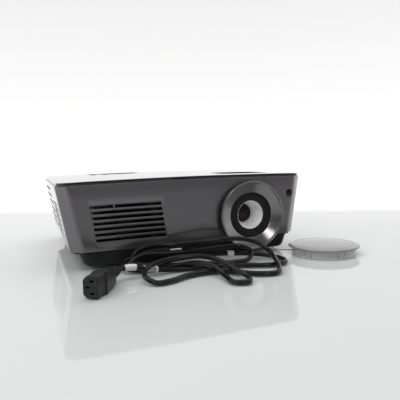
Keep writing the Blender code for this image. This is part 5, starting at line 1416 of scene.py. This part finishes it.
def block_at(name, low, high, corner, edge, steps=3):
    """A moulded block that fills a box from low to high, its rounded corners seen from the rear."""
    low, high = np.array(low, float), np.array(high, float)
    middle = (low + high) / 2
    half = (high - low) / 2
    return moulded_block(name, half[0], half[2], (0.0, high[1] - low[1]), corner, edge,
                         facing_rear(middle[0], low[1], middle[2]), steps)


def make_rear_plate():
    plate = block_at("rear_plate_sheet", plate_low, plate_high, 0.0008, 0.0003, 3)
    cutters = []
    for node in ("lan_socket", "hdmi_socket", "audio_sockets", "vga_socket"):
        low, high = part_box(node)
        half_z = (high.z - low.z) / 2 + SEAT_GAP
        at = facing_rear((low.x + high.x) / 2, plate_low.y, (low.z + high.z) / 2)
        cutters.append(bar_over("socket_hole", corner_loop((high.x - low.x) / 2 + SEAT_GAP, half_z, 0.0006,
                                                           2), (-0.004, 0.008), at))
    for row in range(4):
        at = facing_rear(0.035, plate_low.y, plate_high.z - 0.006 - 0.0042 * row)
        cutters.append(bar_over("vent", corner_loop(0.055, 0.0010, 0.0009, 4), (-0.004, 0.008), at))
    carve(plate, cutters)
    return fit(plate, "projector", plate_black, "matte_black", "rear_io_plate")


def screw_head(name, x, y, z, radius):
    """A pan-head screw: a low dome with a cross cut into it."""
    at = facing_rear(x, y, z)
    head = lathe(name, [(0, 0.0011), (radius * 0.5, 0.00105), (radius * 0.85, 0.0007), (radius, 0.0002),
                        (radius, 0), (0, 0)], at, 32, closed=False)
    slots = [bar_over("cross", corner_loop(*pair, 0.0001, 1), (0.0005, 0.002), at)
             for pair in ((radius * 0.6, 0.00022), (0.00022, radius * 0.6))]
    return carve(head, slots)


def make_sockets():
    face = REAR_Y + 0.0006
    low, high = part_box("lan_socket")
    shell = block_at("lan_shell", low, high, 0.0006, 0.0002)
    carve(shell, [block_at("lan_cavity", (low.x + 0.0021, REAR_Y - 0.012, low.z + 0.0031),
                           (high.x - 0.0021, REAR_Y + 0.01, high.z - 0.0026), 0.0004, 0.0001)])
    fit(shell, "projector", plated_shell, "bare_metal", "lan_socket")
    middle = (low.x + high.x) / 2
    blades = [block_at("lan_contact", (middle + 0.00102 * (k - 3.5) - 0.00025, REAR_Y - 0.011,
                                       low.z + 0.0032), (middle + 0.00102 * (k - 3.5) + 0.00025,
                                                         REAR_Y - 0.004, low.z + 0.0040), 0.0001, 0.00005, 1)
              for k in range(8)]
    fit(settle(merged("lan_contacts", blades)), "projector", contact_gold, "bare_metal")
    low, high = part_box("hdmi_socket")
    shell = block_at("hdmi_shell", low, high, 0.0010, 0.0002)
    carve(shell, [block_at("hdmi_cavity", (low.x + 0.0006, REAR_Y - 0.010, low.z + 0.0006),
                           (high.x - 0.0006, REAR_Y + 0.01, high.z - 0.0006), 0.0008, 0.0001)])
    fit(shell, "projector", plated_shell, "bare_metal", "hdmi_socket")
    centre = (low.z + high.z) / 2
    tongue = block_at("hdmi_tongue", (low.x + 0.0026, REAR_Y - 0.0105, centre - 0.0006),
                      (high.x - 0.0026, REAR_Y - 0.001, centre + 0.0006), 0.0003, 0.0001)
    fit(settle(tongue), "projector", socket_black, "matte_black")
    low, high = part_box("vga_socket")
    body_face = REAR_Y + 0.0006
    z = (low.z + 0.0020, high.z - 0.0020)
    x = (low.x + 0.0072, high.x - 0.0072)
    centre = sum(z) / 2
    flange = block_at("vga_flange", (low.x, low.y, low.z), (high.x, body_face, high.z), 0.0012, 0.0002)
    collar = block_at("vga_collar", (x[0], body_face - 0.0006, z[0]), (x[1], high.y, z[1]), 0.0030, 0.0003, 6)
    carve(collar, [block_at("vga_recess", (x[0] + 0.0006, body_face + 0.0004, z[0] + 0.0006),
                            (x[1] - 0.0006, high.y + 0.005, z[1] - 0.0006), 0.0025, 0.0001, 6)])
    nuts = []
    for side in (-1, 1):
        at = facing_rear((low.x + high.x) / 2 + side * 0.01195, body_face - 0.0003, centre)
        nuts.append(lathe("vga_nut", [(0.0026, 0), (0.0026, 0.0042), (0.0023, 0.0045), (0.0013, 0.0045),
                                      (0.0013, 0.0010), (0, 0.0010), (0, 0)], at, 6, closed=False))
    whole = settle(merged("vga_shell", [flange, collar, *nuts]), 30)
    fit(whole, "projector", plated_shell, "bare_metal", "vga_socket")
    insert = block_at("vga_insert", (x[0] + 0.0010, body_face, z[0] + 0.0010),
                      (x[1] - 0.0010, high.y - 0.0012, z[1] - 0.0010), 0.0022, 0.0002, 6)
    holes = []
    for row in range(3):
        for k in range(5):
            at = facing_rear((x[0] + x[1]) / 2 + 0.0023 * (k - 2) + 0.0006 * (row - 1), high.y - 0.0020,
                             centre + 0.0019 * (row - 1))
            holes.append(rod("pin_hole", 0.00045, (0, 0.003), at, 10))
    carve(insert, holes)
    fit(insert, "projector", vga_blue, "matte_black")
    low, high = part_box("audio_sockets")
    body = block_at("audio_body", (low.x, low.y, low.z), (high.x, face, high.z), 0.0010, 0.0003)
    places = [low.x + 0.006 + 0.012 * k for k in range(3)]
    bores = [rod("jack_bore", 0.0018, (0, 0.02),
                 facing_rear(x_at, REAR_Y - 0.012, (low.z + high.z) / 2), 28) for x_at in places]
    carve(body, bores)
    fit(body, "projector", socket_black, "gloss_black", "audio_sockets")
    for k, (x_at, colour) in enumerate(zip(places, JACK_COLOURS)):
        ring_plastic = finish(f"jack_plastic_{k}", colour, 0.34, grain=(1300.0, 0.00002), dust=0.05)
        profile = [(0.0040, 0), (0.0040, 0.0013), *arc((0.0037, 0.0013), 0.0003, 0, 90, 3), (0.0022, 0.0016),
                   (0.0018, 0.0012), (0.0018, 0)]
        ring = lathe(f"jack_ring_{k}", profile, facing_rear(x_at, face, (low.z + high.z) / 2), 40)
        fit(settle(ring), "projector", ring_plastic, "matte_black")


def make_inlet():
    """A deep cavity with rounded corners, three flat pins on its floor and a flange over the panel."""
    middle = ((inlet_low.x + inlet_high.x) / 2, (inlet_low.z + inlet_high.z) / 2)
    half, wall = INLET_HALF, INLET_WALL
    body = block_at("inlet_body", (middle[0] - half[0] - wall, inlet_low.y, middle[1] - half[1] - wall),
                    (middle[0] + half[0] + wall, REAR_Y + 0.0008, middle[1] + half[1] + wall), 0.0020, 0.0002)
    flange = block_at("inlet_flange", (inlet_low.x, REAR_Y + SEAT_GAP, inlet_low.z),
                      (inlet_high.x, inlet_high.y, inlet_high.z), 0.0024, 0.0006, 6)
    carve(body, [flange], "UNION")
    back = inlet_high.y - 0.017
    cavity = stacked("inlet_cavity", [corner_loop(*half, 0.0030, 6), corner_loop(*half, 0.0030, 6),
                                      corner_loop(half[0] + 0.0006, half[1] + 0.0006, 0.0034, 6)],
                     (0, 0.0164, 0.0172), facing_rear(middle[0], back, middle[1]))
    carve(body, [cavity])
    fit(body, "projector", plate_black, "matte_black", "ac_inlet")
    pins = [block_at("inlet_pin", (middle[0] + dx - 0.0010, back - 0.001, middle[1] + dz - 0.0020),
                     (middle[0] + dx + 0.0010, REAR_Y - 0.002, middle[1] + dz + 0.0020), 0.0004, 0.0004)
            for dx, dz in ((-0.007, -0.002), (0.007, -0.002), (0.0, 0.002))]
    fit(settle(merged("inlet_pins", pins)), "projector", plated_brass, "bare_metal")


make_rear_plate()
screw_places = [(x, z) for x in (plate_low.x + 0.005, plate_high.x - 0.005)
                for z in (plate_low.z + 0.005, plate_high.z - 0.005)]
plate_screws = [screw_head(f"plate_screw_{k}", x, plate_high.y, z, 0.0026) for k,
                (x, z) in enumerate(screw_places)]
fit(settle(merged("rear_plate_screws", plate_screws)), "projector", zinc_steel, "bare_metal")
make_sockets()
make_inlet()


# ---- Inside the case ----
# What the slots, the finger opening and an open tray show: a cast light engine, the lamp in its shroud, three
# plastic fans, green boards with dark parts on them, a boxed ballast and a paper-cone speaker.


def patterned(material, pattern, low, high, second, amount=1.0):
    """Mixes a second colour into a finish wherever a pattern output rises from low to high."""
    tree = material.node_tree
    shader = tree.nodes["Principled BSDF"]
    link = shader.inputs["Base Color"].links[0]
    first = link.from_socket
    limits = add_node(tree, "ShaderNodeMapRange", From_Min=low, From_Max=high, To_Max=amount)
    linked(material, pattern, limits.inputs["Value"])
    blend = tree.nodes.new("ShaderNodeMix")
    blend.data_type = "RGBA"
    blend.inputs["B"].default_value = (*second, 1)
    linked(material, limits.outputs[0], blend.inputs["Factor"])
    linked(material, first, blend.inputs["A"])
    linked(material, blend.outputs["Result"], shader.inputs["Base Color"])
    return material


def texture_on(material, kind, **values):
    """A texture node read at the piece's own place, stretched by values given as in add_node."""
    tree = material.node_tree
    place = tree.nodes.new("ShaderNodeTexCoord").outputs["Object"]
    texture = add_node(tree, kind, **values)
    linked(material, place, texture.inputs["Vector"])
    return texture


def make_board_green():
    """Solder resist over copper: fine straight traces from a brick pattern and lighter pads from cells."""
    board = finish("board_green", (0.008, 0.075, 0.030), 0.35, grain=(900.0, 0.00003), dust=0.10)
    traces = texture_on(board, "ShaderNodeTexBrick", Scale=90.0, Mortar_Size=0.035)
    patterned(board, traces.outputs["Fac"], 0.2, 0.6, (0.020, 0.150, 0.060), 0.8)
    pads = texture_on(board, "ShaderNodeTexVoronoi", Scale=330.0)
    return patterned(board, pads.outputs["Distance"], 0.20, 0.14, (0.50, 0.49, 0.45), 0.7)


def make_wheel_glass():
    """A dichroic disc whose six coloured sectors follow the angle about its spindle."""
    low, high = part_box("color_wheel")
    material = finish("wheel_glass", (0.30, 0.30, 0.32), 0.06, grain=(300.0, 0.000002), dust=0.02,
                      Coat_Weight=0.6)
    tree = material.node_tree
    place = tree.nodes.new("ShaderNodeTexCoord").outputs["Object"]
    centre = add_node(tree, "ShaderNodeMapping", Location=(0.0, -(low.y + high.y) / 2, -(low.z + high.z) / 2))
    linked(material, place, centre.inputs["Vector"])
    apart = tree.nodes.new("ShaderNodeSeparateXYZ")
    linked(material, centre.outputs[0], apart.inputs[0])
    angle = math_node(tree, "ARCTAN2", apart.outputs["Z"], apart.outputs["Y"])
    share = math_node(tree, "ADD", math_node(tree, "MULTIPLY", angle, 1 / (2 * pi)), 0.5)
    ramp = tree.nodes.new("ShaderNodeValToRGB")
    ramp.color_ramp.interpolation = "CONSTANT"
    sectors = ((0.45, 0.03, 0.03), (0.04, 0.35, 0.06), (0.03, 0.06, 0.45), (0.42, 0.38, 0.05),
               (0.55, 0.55, 0.55), (0.04, 0.35, 0.40))
    for k, colour in enumerate(sectors):
        stop = ramp.color_ramp.elements[k] if k < 2 else ramp.color_ramp.elements.new(k / 6)
        stop.position = k / 6
        stop.color = (*colour, 1)
    linked(material, share, ramp.inputs[0])
    linked(material, ramp.outputs["Color"], tree.nodes["Principled BSDF"].inputs["Base Color"])
    return material


cast_metal = finish("cast_metal", (0.40, 0.40, 0.41), 0.42, metallic=0.9, grain=(600.0, 0.00010), wave=0.6,
                    dust=0.12)
heat_sink_metal = finish("heat_sink_metal", (0.62, 0.62, 0.63), 0.30, metallic=1.0, grain=(1500.0, 0.00002),
                         dust=0.08)
bright_reflector = finish("bright_reflector", (0.78, 0.79, 0.80), 0.10, metallic=1.0, grain=(200.0, 0.00001),
                          dust=0.02)
lamp_quartz = finish("lamp_quartz", (0.70, 0.71, 0.72), 0.06, grain=(200.0, 0.00001), dust=0.0,
                     Transmission_Weight=0.6)
shroud_black = finish("shroud_black", (0.012, 0.012, 0.012), 0.55, grain=(800.0, 0.00008), dust=0.12)
fan_black = finish("fan_black", (0.007, 0.007, 0.0075), 0.45, grain=(1300.0, 0.00004), smear=0.08, dust=0.08,
                   Specular_IOR_Level=0.2)
tinned_box = finish("tinned_box", (0.52, 0.52, 0.51), 0.32, metallic=1.0, grain=(500.0, 0.00003), dust=0.08)
cone_paper = finish("cone_paper", (0.020, 0.020, 0.020), 0.75, grain=(1200.0, 0.00015), wave=0.5, dust=0.18)
board_green = make_board_green()
wheel_glass = make_wheel_glass()
INSIDE_FINISHES = {cast_metal: ("engine_housing", "wheel_motor"), heat_sink_metal: ("dmd_heatsink",),
                   bright_reflector: ("light_tunnel", "lamp_reflector"), lamp_quartz: ("lamp_burner",),
                   shroud_black: ("lamp_housing", "lamp_blower_housing"),
                   fan_black: ("exhaust_fan_frame", "exhaust_fan_rotor", "intake_fan_frame",
                               "intake_fan_rotor", "lamp_blower_rotor"),
                   board_green: ("main_board", "power_supply", "dmd_board"), tinned_box: ("lamp_ballast",),
                   cone_paper: ("speaker",), wheel_glass: ("color_wheel",)}
for material, nodes in INSIDE_FINISHES.items():
    for node in nodes:
        NODES[node].data.materials.clear()
        NODES[node].data.materials.append(material)
